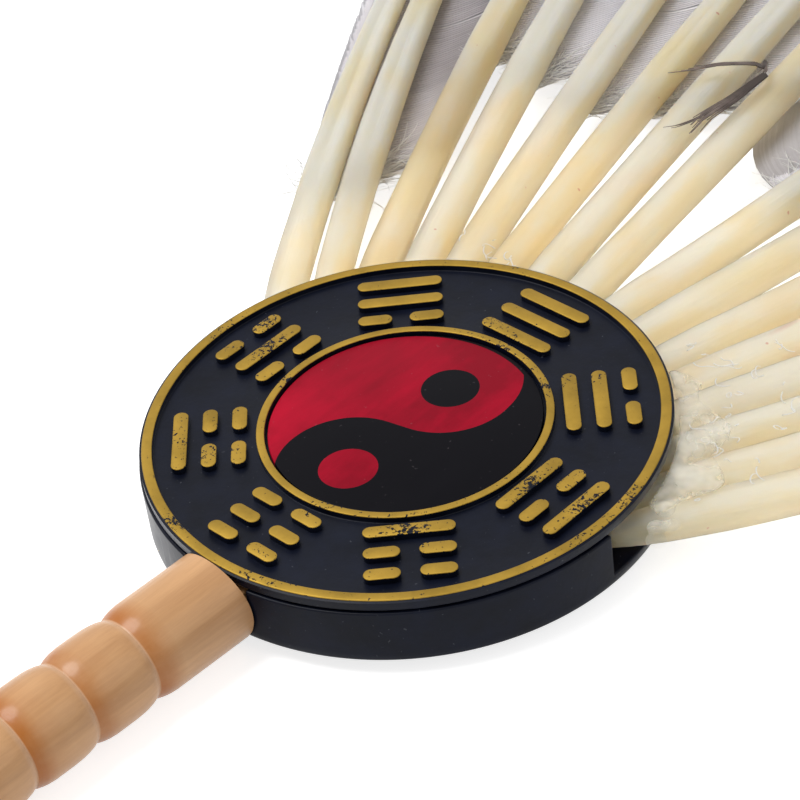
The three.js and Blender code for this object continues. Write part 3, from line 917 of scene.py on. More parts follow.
        clear = -self.radius - self.lap
        beyond = self.lap if self.index or self.side > 0 else clear
        self.stops = [self.bare + share * (self.length - self.bare)
                      for share in np.linspace(0, 1, self.width_stops)]
        self.wide_limits, self.narrow_limits = [], []
        for stop in self.stops:
            plan = self.at(stop)[0]
            place = (stop - self.bare) / (self.length - self.bare)
            share = float(np.interp(place, *zip(*self.outline)))
            if place < self.foot_end:
                share = max(share, self.broad_foot)
            self.wide_limits.append(min(self.wide * share, gap(inner, plan) + beyond))
            room = gap(outer, plan) + clear if outer else self.narrow
            self.narrow_limits.append(min(self.narrow * share, room))

    def vane_width(self, distance, wide):
        """Width of a vane at a distance."""
        return float(np.interp(distance, self.stops, self.wide_limits if wide else self.narrow_limits))

    def vane_height(self, across):
        """Level of the vanes beside the shaft, where the wide one drops and the narrow one rises."""
        wide_slope = self.wide_slope if self.index else self.middle_slopes[self.side]
        return -self.radius + self.vane_root + across * (self.narrow_slope if across < 0 else wide_slope)


def all_feathers(settings):
    """The sixteen feathers with their vanes' widths."""
    groups = {side: [Feather(side, index, settings) for index in range(OUTERMOST + 1)] for side in (-1, 1)}
    for side, group in groups.items():
        for index, feather in enumerate(group):
            inner = group[index - 1] if index else groups[-side][0]
            outer = group[index + 1].line if index < OUTERMOST else None
            feather.set_widths(inner.line, outer)
    return groups[-1] + groups[1]


def horn(settings):
    """Goose quill: a translucent keratin tube, milky, with painted shade in honey on its lower right
    side, away from the key light, and with amber and pinkish patches and a few red flecks.

    The attribute skin holds the place round the quill as x and y of a unit circle, x to the
    right and y upwards, and 8 mm along it as one unit of z. The attribute pith is 1 where
    white pith fills the shaft, so that it is paler and less light comes through. The
    attribute warmth makes one quill more honey-coloured than the next."""
    material, tree, output = new_material("goose_quill_keratin")
    place = add(tree, "TexCoord").outputs["Object"]
    skin = stored(tree, "skin", "Vector")
    warmth, filled = stored(tree, "warmth"), stored(tree, "pith")
    # Painted shade: each quill's lower right side, away from the key light, turns honey-coloured. Clouds
    # and each quill's warmth vary it, and pith makes it milkier.
    painted_lee_shade = along(tree, skin, (0.62, -0.42, 0))
    clouds = ranged(tree, noise(tree, skin, 0.85, 4.0), 0.3, 0.7, -0.45, 0.45)
    painted_shade_clouds_warmth = maths(tree, "ADD", maths(tree, "ADD", painted_lee_shade, clouds), warmth)
    honey_share_with_painted_shade = maths(tree, "MULTIPLY_ADD", filled, -0.45, painted_shade_clouds_warmth)
    patches = maths(tree, "MULTIPLY_ADD", warmth, 0.4, noise(tree, skin, 0.42, 2.0, 0.4))
    blush = noise(tree, skin, 0.3, 1.0, Distortion=0.4)
    # Flecks of dried blood, about 0.4 mm across, and one pinkish streak along the underside
    # of a quill near the mouth's right-hand end.
    flecks = noise(tree, place, 700.0, 0.0)
    beside = add(tree, "Mapping", {
        "Vector": place, "Location": (27.9 * MM, 49.6 * MM, 0), "Rotation": (0, 0, math.radians(-10)),
        "Scale": (0.9 * MM, 4.2 * MM, 20 * MM)}, vector_type="TEXTURE").outputs[0]
    off_streak = add(tree, "VectorMath", {0: beside}, operation="LENGTH").outputs["Value"]
    tint = list(settings.milky)
    for value, low, high, to_low, to_high, kind, other in (
            (honey_share_with_painted_shade, -0.35, 0.6, 0.0, 0.9, "SMOOTHSTEP", list(settings.horn)),
            (patches, 0.48, 0.75, 0.0, 0.6, "SMOOTHSTEP", list(settings.amber)),
            (blush, 0.58, 0.78, 0.0, 0.22, "LINEAR", linear("#e8bfa6")),
            (flecks, 0.87, 0.9, 0.0, 0.6, "LINEAR", linear("#c4564a")),
            (off_streak, 0.2, 1.0, 0.5, 0.0, "LINEAR", linear("#e39a92"))):
        share = ranged(tree, value, low, high, to_low, to_high, interpolation_type=kind)
        tint = blend(tree, share, tint, other)
    ribs = noise(tree, stretched(tree, skin, (3.0, 3.0, 0.35)), 2.0, 4.0, 0.6)
    keratin = add(tree, "BsdfPrincipled", {
        "Base Color": tint, "Roughness": 0.45, "IOR": 1.12,
        "Transmission Weight": ranged(tree, filled, 0.0, 1.0, 0.6, 0.3),
        "Subsurface Weight": 1.0, "Subsurface Radius": (1.0, 0.86, 0.62), "Subsurface Scale": 8 * MM,
        "Coat Weight": 0.25, "Coat Roughness": 0.3, "Normal": bumpy(tree, ribs, 0.2, 0.6 * MM)})
    tree.links.new(keratin.outputs[0], output.inputs["Surface"])
    return material


def barbs_finish(settings):
    """Goose vane: matt barbs zipped into a smooth web, paler at the margin, that lets light through.

    The attribute tone goes from pale to grey barbs, and edge is 1 at the margin."""
    material, tree, output = new_material("goose_vane_barbs")
    place = add(tree, "TexCoord").outputs["Object"]
    swing = ranged(tree, noise(tree, place, 60.0, 3.0), 0.3, 0.7, -0.12, 0.12)
    moved = maths(tree, "ADD", stored(tree, "tone"), swing)
    fringe = ranged(tree, stored(tree, "edge"), 0.78, 1.0, 0.0, 0.5)
    paled = maths(tree, "SUBTRACT", moved, fringe, use_clamp=True)
    shade = blend(tree, paled, list(settings.pale), list(settings.grey))
    barb = add(tree, "BsdfPrincipled", {
        "Base Color": shade, "Roughness": 0.6, "IOR": 1.54, "Sheen Weight": 0.35, "Sheen Roughness": 0.5})
    through = add(tree, "BsdfTranslucent", {"Color": shade})
    mixed = add(tree, "MixShader", {0: 0.03, 1: barb.outputs[0], 2: through.outputs[0]})
    tree.links.new(mixed.outputs[0], output.inputs["Surface"])
    return material


def down_finish(settings):
    """Goose down: fine, matt, nearly white barbs with a faint sheen."""
    material, tree, output = new_material("goose_down")
    place = add(tree, "TexCoord").outputs["Object"]
    shade = ramp(tree, noise(tree, place, 300.0, 3.0),
                 (0.3, shaded(settings.down, 0.9)), (0.65, list(settings.down)))
    barb = add(tree, "BsdfPrincipled", {
        "Base Color": shade, "Roughness": 0.8, "Specular IOR Level": 0.2, "Sheen Weight": 0.4})
    tree.links.new(barb.outputs[0], output.inputs["Surface"])
    return material


class Quill:
    """The quill and shaft: round where it is bare, grooved on top where it carries vanes.

    Lengths are in millimetres. Rings of vertices lie along it: some inside the hub, some on
    the bare quill, and more on the shaft, where vaned gives shares of its length."""

    sides = 24
    inside_rings = 7
    bare_rings = 9
    first_bare = 4
    vaned = (0.03, 0.07, 0.13, 0.2, 0.28, 0.37, 0.46, 0.55, 0.64, 0.73, 0.81, 0.88, 0.94, 0.98, 1)

    # Where the groove and the pith come in, from the vanes' foot.
    groove_from = (-8, 12)
    pith_from = (-12, 2)

    # Depth of the groove as a share of the radius, and its half width as an angle.
    groove_depth = 0.2
    groove_angle = 0.33

    # Shares of the radius: how much the section is squared off, and how much more where it
    # carries vanes, and how the bare quill swells from first_swell on. swell_length sets the
    # swellings' distance, and the squared section is turned by up to greatest_turn.
    squareness = 0.04
    more_square = 0.02
    swell = 0.02
    swell_length = 9
    first_swell = 2
    greatest_turn = 0.5

    # Length that is one unit of the attribute skin, and how many units lie between two
    # feathers and between both sides, so that no two quills look the same.
    unit = 8
    between_feathers = 37
    between_sides = 11

    def __init__(self, feather, draw):
        self.feather = feather
        self.phase = draw.uniform(0, WHOLE_TURN)

    def mesh(self):
        """The quill's closed mesh with its attributes skin, pith and warmth."""
        feather = self.feather
        stops = [*np.linspace(-feather.inside, 0, self.inside_rings)]
        stops += [*np.linspace(self.first_bare, feather.bare, self.bare_rings)]
        stops += [feather.bare + (feather.length - feather.bare) * share for share in self.vaned]
        shape = bmesh.new()
        layers = shape.verts.layers.float_vector.new("skin"), shape.verts.layers.float.new("pith")
        ring = bmesh.ops.create_circle(shape, segments=self.sides, radius=MM)["verts"]
        edges = list({edge for vertex in ring for edge in vertex.link_edges})
        self.place_ring(ring, stops[0], layers)
        for stop in stops[1:]:
            made = bmesh.ops.extrude_edge_only(shape, edges=edges)["geom"]
            edges = [item for item in made if isinstance(item, bmesh.types.BMEdge)
                     and all(end not in ring for end in item.verts)]
            fresh = {end for edge in edges for end in edge.verts}
            ring = [next(edge.other_vert(vertex) for edge in vertex.link_edges
                         if edge.other_vert(vertex) in fresh) for vertex in ring]
            self.place_ring(ring, stop, layers)
        bmesh.ops.holes_fill(shape, edges=[edge for edge in shape.edges if edge.is_boundary], sides=0)
        mesh = mesh_of(shape, feather.name + "_quill")
        store(mesh, "warmth", [feather.warmth] * len(mesh.vertices))
        return mesh

    def place_ring(self, ring, stop, layers):
        """Moves one ring of vertices onto the quill's section and stores their skin and pith."""
        skin, pith = layers
        feather, phase = self.feather, self.phase
        radius = feather.shaft(stop)
        from_foot = stop - feather.bare
        vaned = share_of(from_foot, *self.groove_from)
        sink = (feather.radius - radius) if stop > 0 else 0
        swell = self.swell * math.sin(stop / self.swell_length + phase) if stop > self.first_swell else 0
        size = radius * (1 + swell * (1 - vaned))
        squareness = self.squareness + self.more_square * vaned
        turn = self.greatest_turn * math.sin(phase) * (1 - vaned)
        unit_place = (stop / self.unit + self.between_feathers * feather.index
                      + self.between_sides * feather.side)
        for step, vertex in enumerate(ring):
            angle = step / len(ring) * WHOLE_TURN
            x, y = math.cos(angle), math.sin(angle)
            off_top = (angle - math.pi / 2) / self.groove_angle
            groove = self.groove_depth * vaned * math.exp(-off_top ** 2)
            reach = size * (1 - squareness * math.cos(4 * (angle - turn))) * (1 - groove)
            vertex.co = feather.point(stop, x * reach, y * reach - sink) * MM
            vertex[skin] = (-feather.side * x, y, unit_place)
            vertex[pith] = share_of(from_foot, *self.pith_from)


class Vane:
    """One vane of a feather: a row of barbs that leave the shaft and run on to the margin.

    Lengths are in millimetres. Of two values, the first is the wide vane's and the second
    the narrow one's."""

    # Points of a barb, how far it runs on along the shaft for its width, and how many splits
    # the vane has, where barbs have parted.
    points = (8, 6)
    slant = (1.15, 1.9)
    splits = (4, 2)

    # How deep the splits are, how far they reach back, how fast they close, and how far they
    # stay from the foot and from the tip.
    split_depth = (2.2, 1.0)
    split_reach = 14
    split_fade = 5
    split_margins = (12, 20)

    # Where the row starts and ends, counted inwards from the vane's ends, how far ahead the
    # first guess of a barb's end lies, and how far barbs reach past the shaft's end.
    first = 0.5
    last = 0.6
    ahead = 4
    past_end = 1.5

    # The tip is rounded from shoulder, a share of the feather's length, to tip past its end.
    shoulder = 0.965
    tip = 1.6

    # Shares of the vane's length over which the barbs are loose and over which the foot goes,
    # and what they do: looseness shortens a barb and ripples it.
    loose_part = 0.06
    foot_part = 0.15
    loose_cut = 0.15
    ripple = 0.12
    ripples = 6

    # How unevenly the barbs follow each other, as shares of their pitch.
    uneven = (0.9, 1.1)

    # A barb starts at a share of the shaft's radius, spreads and curves by powers of its
    # length, and bulges upwards by camber.
    start = 0.55
    spreading = 0.92
    curving = 1.35
    camber = 0.22

    # Of two values here, the first is for most vanes and the second for the one with a broad
    # foot, whose barbs are steadier, broader and closer: how far they stray, their width at
    # the root, how much of it they lose, their tone at the foot and how much it varies. They
    # thin by a power of their length, so most of it goes near the tip.
    stray = (0.015, 0.005)
    root_width = (1.0, 1.1)
    thinning = (0.7, 0.3)
    thinning_power = 6
    foot_tone = (-0.45, 0.08)
    tone_varies = (0.015, 0.05)
    tip_tone = 0.2

    # What the broad foot does to barbs there: shorter, more curved and closer. They are at
    # their closest on all but the last part of the foot.
    foot_cut = 0.7
    foot_curving = 1.2
    foot_closer = 0.6
    last_part = 1 / 3

    def __init__(self, feather, wide):
        self.feather, self.wide = feather, wide
        self.kind = 0 if wide else 1
        self.spread = feather.broad_foot if wide else 0
        self.broad = bool(self.spread)

    def reach(self, root, splits):
        """How far the barb from a root runs along the shaft and how far out its end lies."""
        feather, slant = self.feather, self.slant[self.kind]
        reach = feather.vane_width(root + self.ahead, self.wide) * slant
        for _ in range(3):
            reach = feather.vane_width(root + reach, self.wide) * slant
        reach = min(reach, feather.length + self.past_end - root)
        end = root + reach
        width = feather.vane_width(min(end, feather.length), self.wide)
        shoulder, tip = self.shoulder * feather.length, feather.length + self.tip
        if end > shoulder:
            width *= math.sqrt(max(1 - ((end - shoulder) / (tip - shoulder)) ** 2, 0))
        for split in splits:
            if split - self.split_reach < root < split:
                reach -= self.split_depth[self.kind] * math.exp(-(split - root) / self.split_fade)
        return reach, width

    def barbs(self, pitch, draw):
        """Paths of the barbs, with each point's width, tone and share of the way to the margin."""
        feather, broad = self.feather, self.broad
        paths, widths, tones, edges = [], [], [], []
        nearest, farthest = feather.bare + self.split_margins[0], feather.length - self.split_margins[1]
        splits = sorted(draw.uniform(nearest, farthest) for _ in range(self.splits[self.kind]))
        steps = self.points[self.kind]
        root = feather.bare + self.first
        while root < feather.length - self.last:
            share = (root - feather.bare) / (feather.length - feather.bare)
            loose = 0 if broad else max(1 - share / self.loose_part, 0)
            foot = max(1 - share / self.foot_part, 0)
            spread_foot = self.spread * foot
            reach, width = self.reach(root, splits)
            reach *= (1 - self.loose_cut * loose * draw.random()) * (1 - self.foot_cut * spread_foot)
            stray = draw.gauss(0, self.stray[broad])
            start = self.start * feather.shaft(root)
            ripple = draw.uniform(0, WHOLE_TURN)
            tone = feather.tone + self.tip_tone * share + self.foot_tone[broad] * foot
            tone = min(max(tone + draw.gauss(0, self.tone_varies[broad]), 0), 1)
            path, sizes = [], []
            for step in range(steps):
                part = step / (steps - 1)
                across = start + (width - start) * part ** self.spreading * (1 + stray * part)
                curve = part ** (self.curving + self.foot_curving * spread_foot)
                wave = self.ripple * math.sin(ripple + self.ripples * part) * loose
                signed = across if self.wide else -across
                height = feather.vane_height(signed) + self.camber * math.sin(math.pi * part)
                path.append(feather.point(root + reach * curve + wave, signed, height))
                sizes.append(self.root_width[broad] - self.thinning[broad] * part ** self.thinning_power)
                edges.append(part)
            paths.append(path)
            widths.append(sizes)
            tones += [tone] * steps
            closer = 1 - self.foot_closer * broad * min(foot / self.last_part, 1)
            root += pitch * draw.uniform(*self.uneven) * closer
        return paths, widths, tones, edges


class Down:
    """The down at the foot of both vanes: long soft barbs that curl and stray, in millimetres."""

    hairs = 64
    points = 9

    # Share of the hairs on the wide side, where they grow along the shaft, how long they are,
    # how much shorter they are on a narrow side with another feather beside it, and how they
    # lean and how high over the vane they start.
    wide_share = 0.62
    roots = (-2, 6)
    lengths = (5, 13)
    held_in = 0.4
    leans = (0.0, 1.1)
    levels = (0.2, 0.9)
    start = 0.6
    beside = 2

    # Curl from point to point, its spread, and how far lean and level wander.
    curl = (0.03, 0.1)
    wander = 0.05

    # Width of a hair at its root and the share of it that is lost by the tip.
    width = 0.26
    thinning = 0.75

    def paths(self, feather, draw):
        """Paths of the hairs with each point's width."""
        paths = []
        last = self.points - 1
        sizes = [self.width * (1 - self.thinning * step / last) for step in range(self.points)]
        for _ in range(self.hairs):
            sign = 1 if draw.random() < self.wide_share else -1
            distance = feather.bare + draw.uniform(*self.roots)
            free = sign > 0 or feather.index == OUTERMOST
            size = draw.uniform(*self.lengths) * (1 if free else self.held_in)
            lean = draw.uniform(*self.leans)
            curl = draw.gauss(*self.curl)
            across = self.start * feather.shaft(distance)
            level = feather.vane_height(sign * self.beside) + draw.uniform(*self.levels)
            path = []
            for _ in range(self.points):
                path.append(feather.point(distance, sign * across, level))
                lean += curl + draw.gauss(0, self.wander)
                across += size / self.points * math.cos(lean)
                distance += size / self.points * math.sin(lean)
                level += draw.gauss(0, self.wander)
            paths.append(path)
        return paths, [sizes] * self.hairs


class FanFeathers(bpy.types.Operator):
    """Sixteen goose feathers, each with its quill, its barbs and the down at their foot"""

    bl_idname = "fan.feathers"
    bl_label = "Feathers"

    # Sections of a barb and of a hair of down, as shares of their width, and a barb's thickness
    # in millimetres.
    barb_outline = ((-0.6, -0.035), (0.6, -0.035), (0.25, -0.005))
    hair_outline = ((-0.5, -0.1), (0.5, -0.1), (0.0, 0.1))
    first_seed = 40

    def execute(self, context):
        settings = context.scene.fan_feathers
        keratin, web, fluff = horn(settings), barbs_finish(settings), down_finish(settings)
        pitch = settings.barb_pitch / MM
        broad = settings.barb_width / MM
        outline = [(x * broad, y) for x, y in self.barb_outline]
        for number, feather in enumerate(all_feathers(settings)):
            draw = random.Random(self.first_seed + number)
            finish_piece(feather.name + "_quill", Quill(feather, draw).mesh(), keratin,
                         replaces=[feather.name])
            self.add_vanes(feather, outline, pitch, draw, web)
            down = swept(feather.name + "_down", *Down().paths(feather, draw), self.hair_outline)
            finish_piece(feather.name + "_down", down, fluff, smooth=False)
        return {"FINISHED"}

    def add_vanes(self, feather, outline, pitch, draw, finish):
        """Both vanes of a feather as one piece of a few hundred barbs."""
        both = [Vane(feather, wide).barbs(pitch, draw) for wide in (True, False)]
        paths, widths, tones, edges = ([*first, *second] for first, second in zip(*both))
        mesh = swept(feather.name + "_vanes", paths, widths, outline)
        store(mesh, "tone", tones, len(outline))
        store(mesh, "edge", edges, len(outline))
        finish_piece(feather.name + "_vanes", mesh, finish, smooth=False)


# The stray barbs

def dark_barb(settings):
    """Loose goose barbs: matt, dark brown-grey, a little paler towards their tips."""
    material, tree, output = new_material("stray_goose_barb")
    place = add(tree, "TexCoord").outputs["Object"]
    uneven = maths(tree, "MULTIPLY", stored(tree, "along"), noise(tree, place, 500.0, 3.0))
    shade = ramp(tree, uneven, (0.1, list(settings.dark)), (0.55, linear("#85766e")))
    hair = add(tree, "BsdfPrincipled", {"Base Color": shade, "Roughness": 0.6, "IOR": 1.54})
    tree.links.new(hair.outputs[0], output.inputs["Surface"])
    return material


class FanStrayBarbs(bpy.types.Operator):
    """Dark loose barbs that cling to the shafts of the middle feathers"""

    bl_idname = "fan.stray_barbs"
    bl_label = "Stray barbs"

    # Each tuft: its route in millimetres, how many hairs, how far they spread and how wide they are.
    tufts = (
        (((-14.3, 98.6, 10.3), (-13.6, 97.6, 10.5), (-15.6, 97.9, 10.5), (-19.8, 94.9, 10.5),
          (-23.0, 91.0, 10.4), (-25.8, 88.4, 10.3)), 5, 0.16, 0.62),
        (((-14.9, 99.6, 10.2), (-14.2, 98.6, 10.4), (-13.4, 97.6, 10.4), (-13.0, 96.0, 10.4)), 7, 0.3, 0.6),
        (((-12.6, 96.2, 10.3), (-12.4, 92.0, 10.5), (-12.3, 88.0, 10.5), (-12.6, 84.3, 10.5),
          (-12.9, 80.6, 10.4), (-12.3, 76.8, 10.3)), 22, 0.5, 0.62),
        (((-12.6, 86.5, 10.4), (-12.9, 83.0, 10.4), (-13.6, 79.5, 10.4), (-14.6, 77.2, 10.3),
          (-16.4, 75.3, 10.2)), 4, 0.25, 0.4))

    # A hair's section and points, the share of the route that the shortest one covers, how far
    # off the route it is at its root compared with its tip, and the share of its width it loses.
    outline = ((-0.5, -0.25), (0.5, -0.25), (0.0, 0.4))
    points = 12
    shortest = 0.7
    root_spread = 0.4
    thinning = 0.75
    seed = 5

    def execute(self, context):
        draw = random.Random(self.seed)
        hairs = [self.hair(route, spread, width, draw)
                 for route, count, spread, width in self.tufts for _ in range(count)]
        paths, widths, shades = zip(*hairs)
        mesh = swept("stray_barbs", paths, widths, self.outline)
        store(mesh, "along", [share for hair in shades for share in hair], len(self.outline))
        finish_piece("stray_barbs", mesh, dark_barb(context.scene.fan_feathers), smooth=False)
        return {"FINISHED"}

    def hair(self, route, spread, width, draw):
        """One hair of a tuft, as its path, widths and shares of the way along it.

        It keeps to its route at the root and strays at the tip."""
        cut = draw.uniform(self.shortest, 1)
        off_x, off_y = draw.gauss(0, spread), draw.gauss(0, spread)
        places = np.linspace(0, 1, len(route))
        shares = [step / (self.points - 1) for step in range(self.points)]
        path = []
        for share in shares:
            x, y, z = (float(np.interp(share * cut, places, axis)) for axis in zip(*route))
            stray = self.root_spread + share
            path.append((x + off_x * stray, y + off_y * stray, z))
        return path, [width * (1 - self.thinning * share) for share in shares], shares


# The glue

def melt_glue(glue):
    """Hot-melt glue: clear with milky clouds, faintly yellow and wet-looking."""
    material, tree, output = new_material("hot_melt_glue")
    place = add(tree, "TexCoord").outputs["Object"]
    milky = ranged(tree, noise(tree, place, 220.0, 2.0), 0.42, 0.75, 0.06, 0.47)
    wax = add(tree, "BsdfPrincipled", {
        "Base Color": list(glue.clear), "Roughness": 0.14, "IOR": 1.48, "Alpha": milky,
        "Subsurface Weight": 0.5, "Subsurface Radius": (1.0, 0.9, 0.7), "Subsurface Scale": 2 * MM,
        "Coat Weight": 0.6, "Coat Roughness": 0.08,
        "Normal": bumpy(tree, noise(tree, place, 500.0, 2.0), 0.12, 0.5 * MM)})
    tree.links.new(wax.outputs[0], output.inputs["Surface"])
    return material


def dry_strings():
    """The same glue drawn out into threads, which dry white and dull."""
    material, tree, output = new_material("hot_melt_strings")
    place = add(tree, "TexCoord").outputs["Object"]
    shade = ramp(tree, noise(tree, place, 400.0, 2.0), (0.3, linear("#f8f7f3")), (0.7, linear("#ffffff")))
    thread = add(tree, "BsdfPrincipled", {"Base Color": shade, "Roughness": 0.3, "IOR": 1.48})
    tree.links.new(thread.outputs[0], output.inputs["Surface"])
    return material


def poured(node, voxel, lumps=()):
    """A copy of a CAD node's mesh with lumps added, flowed together, smoothed and a little uneven.

    voxel is in metres, and each lump is (x, y, z, radius) in millimetres."""
    squat = Matrix.Diagonal((1, 1, 0.62, 1))
    smoothings, uneven_every, uneven_by = 6, 6 * MM, 0.2 * MM
    shape = bmesh.new()
    shape.from_mesh(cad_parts[node].data)
    bmesh.ops.remove_doubles(shape, verts=shape.verts, dist=1e-6)
    for x, y, z, radius in lumps:
        place = Matrix.Translation((x * MM, y * MM, z * MM)) @ squat
        bmesh.ops.create_icosphere(shape, subdivisions=3, radius=radius * MM, matrix=place)
    mesh = bpy.data.meshes.new(node + "_copy")
    shape.to_mesh(mesh)
    shape.free()
    holder = bpy.data.objects.new(node + "_copy", mesh)
    bpy.context.scene.collection.objects.link(holder)
    remesh = holder.modifiers.new("voxels", "REMESH")
    remesh.mode = "VOXEL"
    remesh.voxel_size = voxel
    smooth = holder.modifiers.new("smooth", "SMOOTH")
    smooth.iterations = smoothings
    clouds = bpy.data.textures.new(node + "_lumps", "CLOUDS")
    clouds.noise_scale = uneven_every
    push = holder.modifiers.new("lumps", "DISPLACE")
    push.texture = clouds
    push.strength = uneven_by
    push.mid_level = 0.5
    graph = bpy.context.evaluated_depsgraph_get()
    made = bpy.data.meshes.new_from_object(holder.evaluated_get(graph))
    bpy.data.objects.remove(holder)
    return made


class FanGlue(bpy.types.Operator):
    """Glue bed inside the hub and the glue spilled over the outer quills, with strands"""

    bl_idname = "fan.glue"
    bl_label = "Glue"

    # Lumps on the spilled film: x, y, z and radius in millimetres.
    lumps = ((35.3, 21.6, 7.9, 1.9), (39.0, 9.0, 7.6, 1.5), (41.7, 7.3, 7.4, 1.2), (41.8, 3.7, 7.2, 1.5),
             (40.4, 5.6, 7.4, 1.4), (30.3, 27.2, 7.8, 1.1), (27.1, 28.9, 7.8, 1.3))

    # Places in plan that drawn-out threads of glue lie round, and their level.
    strings = ((26.8, 35.8), (28.5, 39.3), (22.4, 36.8), (29.6, 44.7), (40.3, 32.1), (37.3, 26.0),
               (34.0, 29.0), (31.5, 33.0), (38.6, 20.4), (41.5, 14.0), (36.5, 37.0), (44.0, 24.0),
               (-17.8, 39.2), (-14.6, 37.8), (-21.5, 38.8))
    string_level = 7.9
    string_outline = ((-0.1, -0.03), (0.1, -0.03), (0.0, 0.02))

    # Threads at each place, how far they scatter round it, how long they are, their points,
    # how much they bend from point to point, evenly and at random, and how high they wave.
    threads = 3
    scatter = 1.6
    lengths = (1, 4)
    points = 9
    greatest_bend = 0.7
    kinks = 0.25
    wave = 0.25
    wave_turn = 0.7
    seed = 7

    def execute(self, context):
        glue = context.scene.fan_glue
        finish = melt_glue(glue)
        bed = poured("glue_bed", glue.voxel)
        finish_piece("glue_bed_poured", bed, finish, replaces=["glue_bed"])
        spill = poured("glue_spill", glue.fine_voxel, self.lumps)
        finish_piece("glue_spilled", spill, finish, replaces=["glue_spill"])
        draw = random.Random(self.seed)
        paths = [self.thread(x, y, draw) for x, y in self.strings for _ in range(self.threads)]
        widths = [[1.0] * self.points] * len(paths)
        threads = swept("glue_strings", paths, widths, self.string_outline)
        finish_piece("glue_strings", threads, dry_strings(), smooth=False)
        return {"FINISHED"}

    def thread(self, x, y, draw):
        """A short curling thread near a place in plan."""
        x, y = x + draw.gauss(0, self.scatter), y + draw.gauss(0, self.scatter)
        size = draw.uniform(*self.lengths)
        heading = draw.uniform(0, WHOLE_TURN)
        bend = draw.uniform(-1, 1) * self.greatest_bend
        path = []
        for step in range(self.points):
            path.append((x, y, self.string_level + self.wave * math.sin(step * self.wave_turn)))
            heading += bend + draw.gauss(0, self.kinks)
            x += size / (self.points - 1) * math.cos(heading)
            y += size / (self.points - 1) * math.sin(heading)
        return path


# The stage

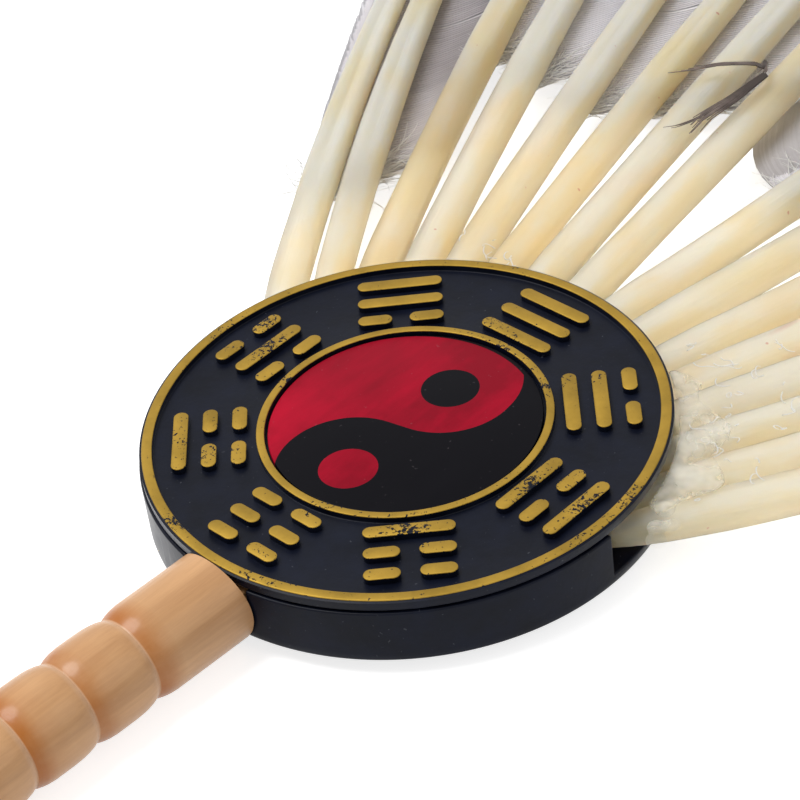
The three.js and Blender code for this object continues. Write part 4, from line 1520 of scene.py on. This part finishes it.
class FanStage(bpy.types.Operator):
    """Camera, pale floor, soft studio light and white surroundings"""

    bl_idname = "fan.stage"
    bl_label = "Stage"

    # The camera's place in millimetres and its axes, fitted to the photograph, the width of its
    # sensor in millimetres and the nearest and farthest that it sees, in metres.
    sensor = 36.0
    sight = (0.01, 20.0)
    place = (231.66, -203.26, 258.93)
    axes = ((0.71858425, 0.68654591, -0.11086649),
            (-0.3705143, 0.51285829, 0.77440011),
            (0.58852003, -0.5153941, 0.62290697))

    # Half the floor's width in metres, how far under the fan it lies in millimetres, and how
    # strongly it glows where the camera sees it.
    floor_half = 6.0
    floor_gap = 0.2
    glow = 0.75

    # Each softbox: name, place and width in metres, and power in watts.
    softboxes = (("key_softbox", (-0.48, -0.3, 1.3), 0.9, 15.2),
                 ("fill_softbox", (1.2, 0.5, 1.0), 1.2, 2.2))

    def execute(self, context):
        stage = context.scene.fan_stage
        self.camera(context, stage)
        self.floor(context, stage)
        self.lights(context, stage)
        view = context.scene.view_settings
        view.view_transform = "Standard"
        return {"FINISHED"}

    def camera(self, context, stage):
        """The camera that took the photograph, without any tilt of its frame."""
        lens = bpy.data.cameras.new("camera")
        lens.lens = stage.lens
        lens.sensor_width = self.sensor
        lens.clip_start, lens.clip_end = self.sight
        eye = bpy.data.objects.new("camera", lens)
        turn = Matrix(self.axes).transposed().to_4x4()
        eye.matrix_world = Matrix.Translation(Vector(self.place) * MM) @ turn
        context.scene.collection.objects.link(eye)
        context.scene.camera = eye

    def floor(self, context, stage):
        """A wide pale floor that shows white to the camera and keeps the fan's shadow."""
        shape = bmesh.new()
        bmesh.ops.create_grid(shape, x_segments=2, y_segments=2, size=self.floor_half)
        low = min(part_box(node)[0].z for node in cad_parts)
        bmesh.ops.translate(shape, verts=shape.verts, vec=(0, 0, low - self.floor_gap * MM))
        mesh = mesh_of(shape, "floor_sheet")
        material, tree, output = new_material("pale_paper_floor")
        paper = add(tree, "BsdfDiffuse", {"Color": list(stage.ground)})
        glow = add(tree, "Emission", {"Strength": maths(tree, "MULTIPLY", seen_ray(tree), self.glow)})
        both = add(tree, "AddShader", {0: paper.outputs[0], 1: glow.outputs[0]})
        tree.links.new(both.outputs[0], output.inputs["Surface"])
        mesh.materials.append(material)
        sheet = bpy.data.objects.new("floor_sheet", mesh)
        context.scene.collection.objects.link(sheet)

    def lights(self, context, stage):
        """Surroundings that show white but light the fan softly, and two round softboxes."""
        world = bpy.data.worlds.new("white_surroundings")
        world.use_nodes = True
        tree = world.node_tree
        tree.nodes.clear()
        strength = ranged(tree, seen_ray(tree), 0.0, 1.0, stage.ambient, 1.0)
        sky = add(tree, "Background", {"Color": WHITE, "Strength": strength})
        tree.links.new(sky.outputs[0], add(tree, "OutputWorld").inputs["Surface"])
        context.scene.world = world
        for name, spot, size, power in self.softboxes:
            lamp = bpy.data.lights.new(name, "AREA")
            lamp.shape = "DISK"
            lamp.size = size
            lamp.energy = power
            holder = bpy.data.objects.new(name, lamp)
            holder.location = spot
            holder.rotation_euler = (-Vector(spot)).to_track_quat("-Z", "Y").to_euler()
            context.scene.collection.objects.link(holder)


# Panel and running

OPERATORS = (FanStage, FanBackShell, FanFrontCover, FanPrintedDisc, FanHandle, FanFeathers, FanStrayBarbs,
             FanGlue)
SETTINGS = {
    "fan_hub": FanHubSettings,
    "fan_handle": FanHandleSettings,
    "fan_feathers": FanFeatherSettings,
    "fan_glue": FanGlueSettings,
    "fan_stage": FanStageSettings,
}


class FanPanel(bpy.types.Panel):
    """Sizes, colours and pieces of the feather fan"""

    bl_idname = "VIEW3D_PT_feather_fan"
    bl_label = "Feather fan"
    bl_space_type = "VIEW_3D"
    bl_region_type = "UI"
    bl_category = "Feather fan"

    def draw(self, context):
        for name in SETTINGS:
            group = getattr(context.scene, name)
            box = self.layout.box()
            for key in group.__annotations__:
                box.prop(group, key)
        for operator in OPERATORS:
            self.layout.operator(operator.bl_idname)


def register():
    """Registers the settings, the operators and the panel."""
    for cls in (*SETTINGS.values(), *OPERATORS, FanPanel):
        bpy.utils.register_class(cls)
    for name, group in SETTINGS.items():
        setattr(bpy.types.Scene, name, bpy.props.PointerProperty(type=group))


def unregister():
    """Takes back what register did."""
    for name in SETTINGS:
        delattr(bpy.types.Scene, name)
    for cls in reversed((*SETTINGS.values(), *OPERATORS, FanPanel)):
        bpy.utils.unregister_class(cls)


def main():
    """Registers the add-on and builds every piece."""
    register()
    for operator in OPERATORS:
        group, name = operator.bl_idname.split(".")
        getattr(getattr(bpy.ops, group), name)()


if __name__ == "__main__":
    main()
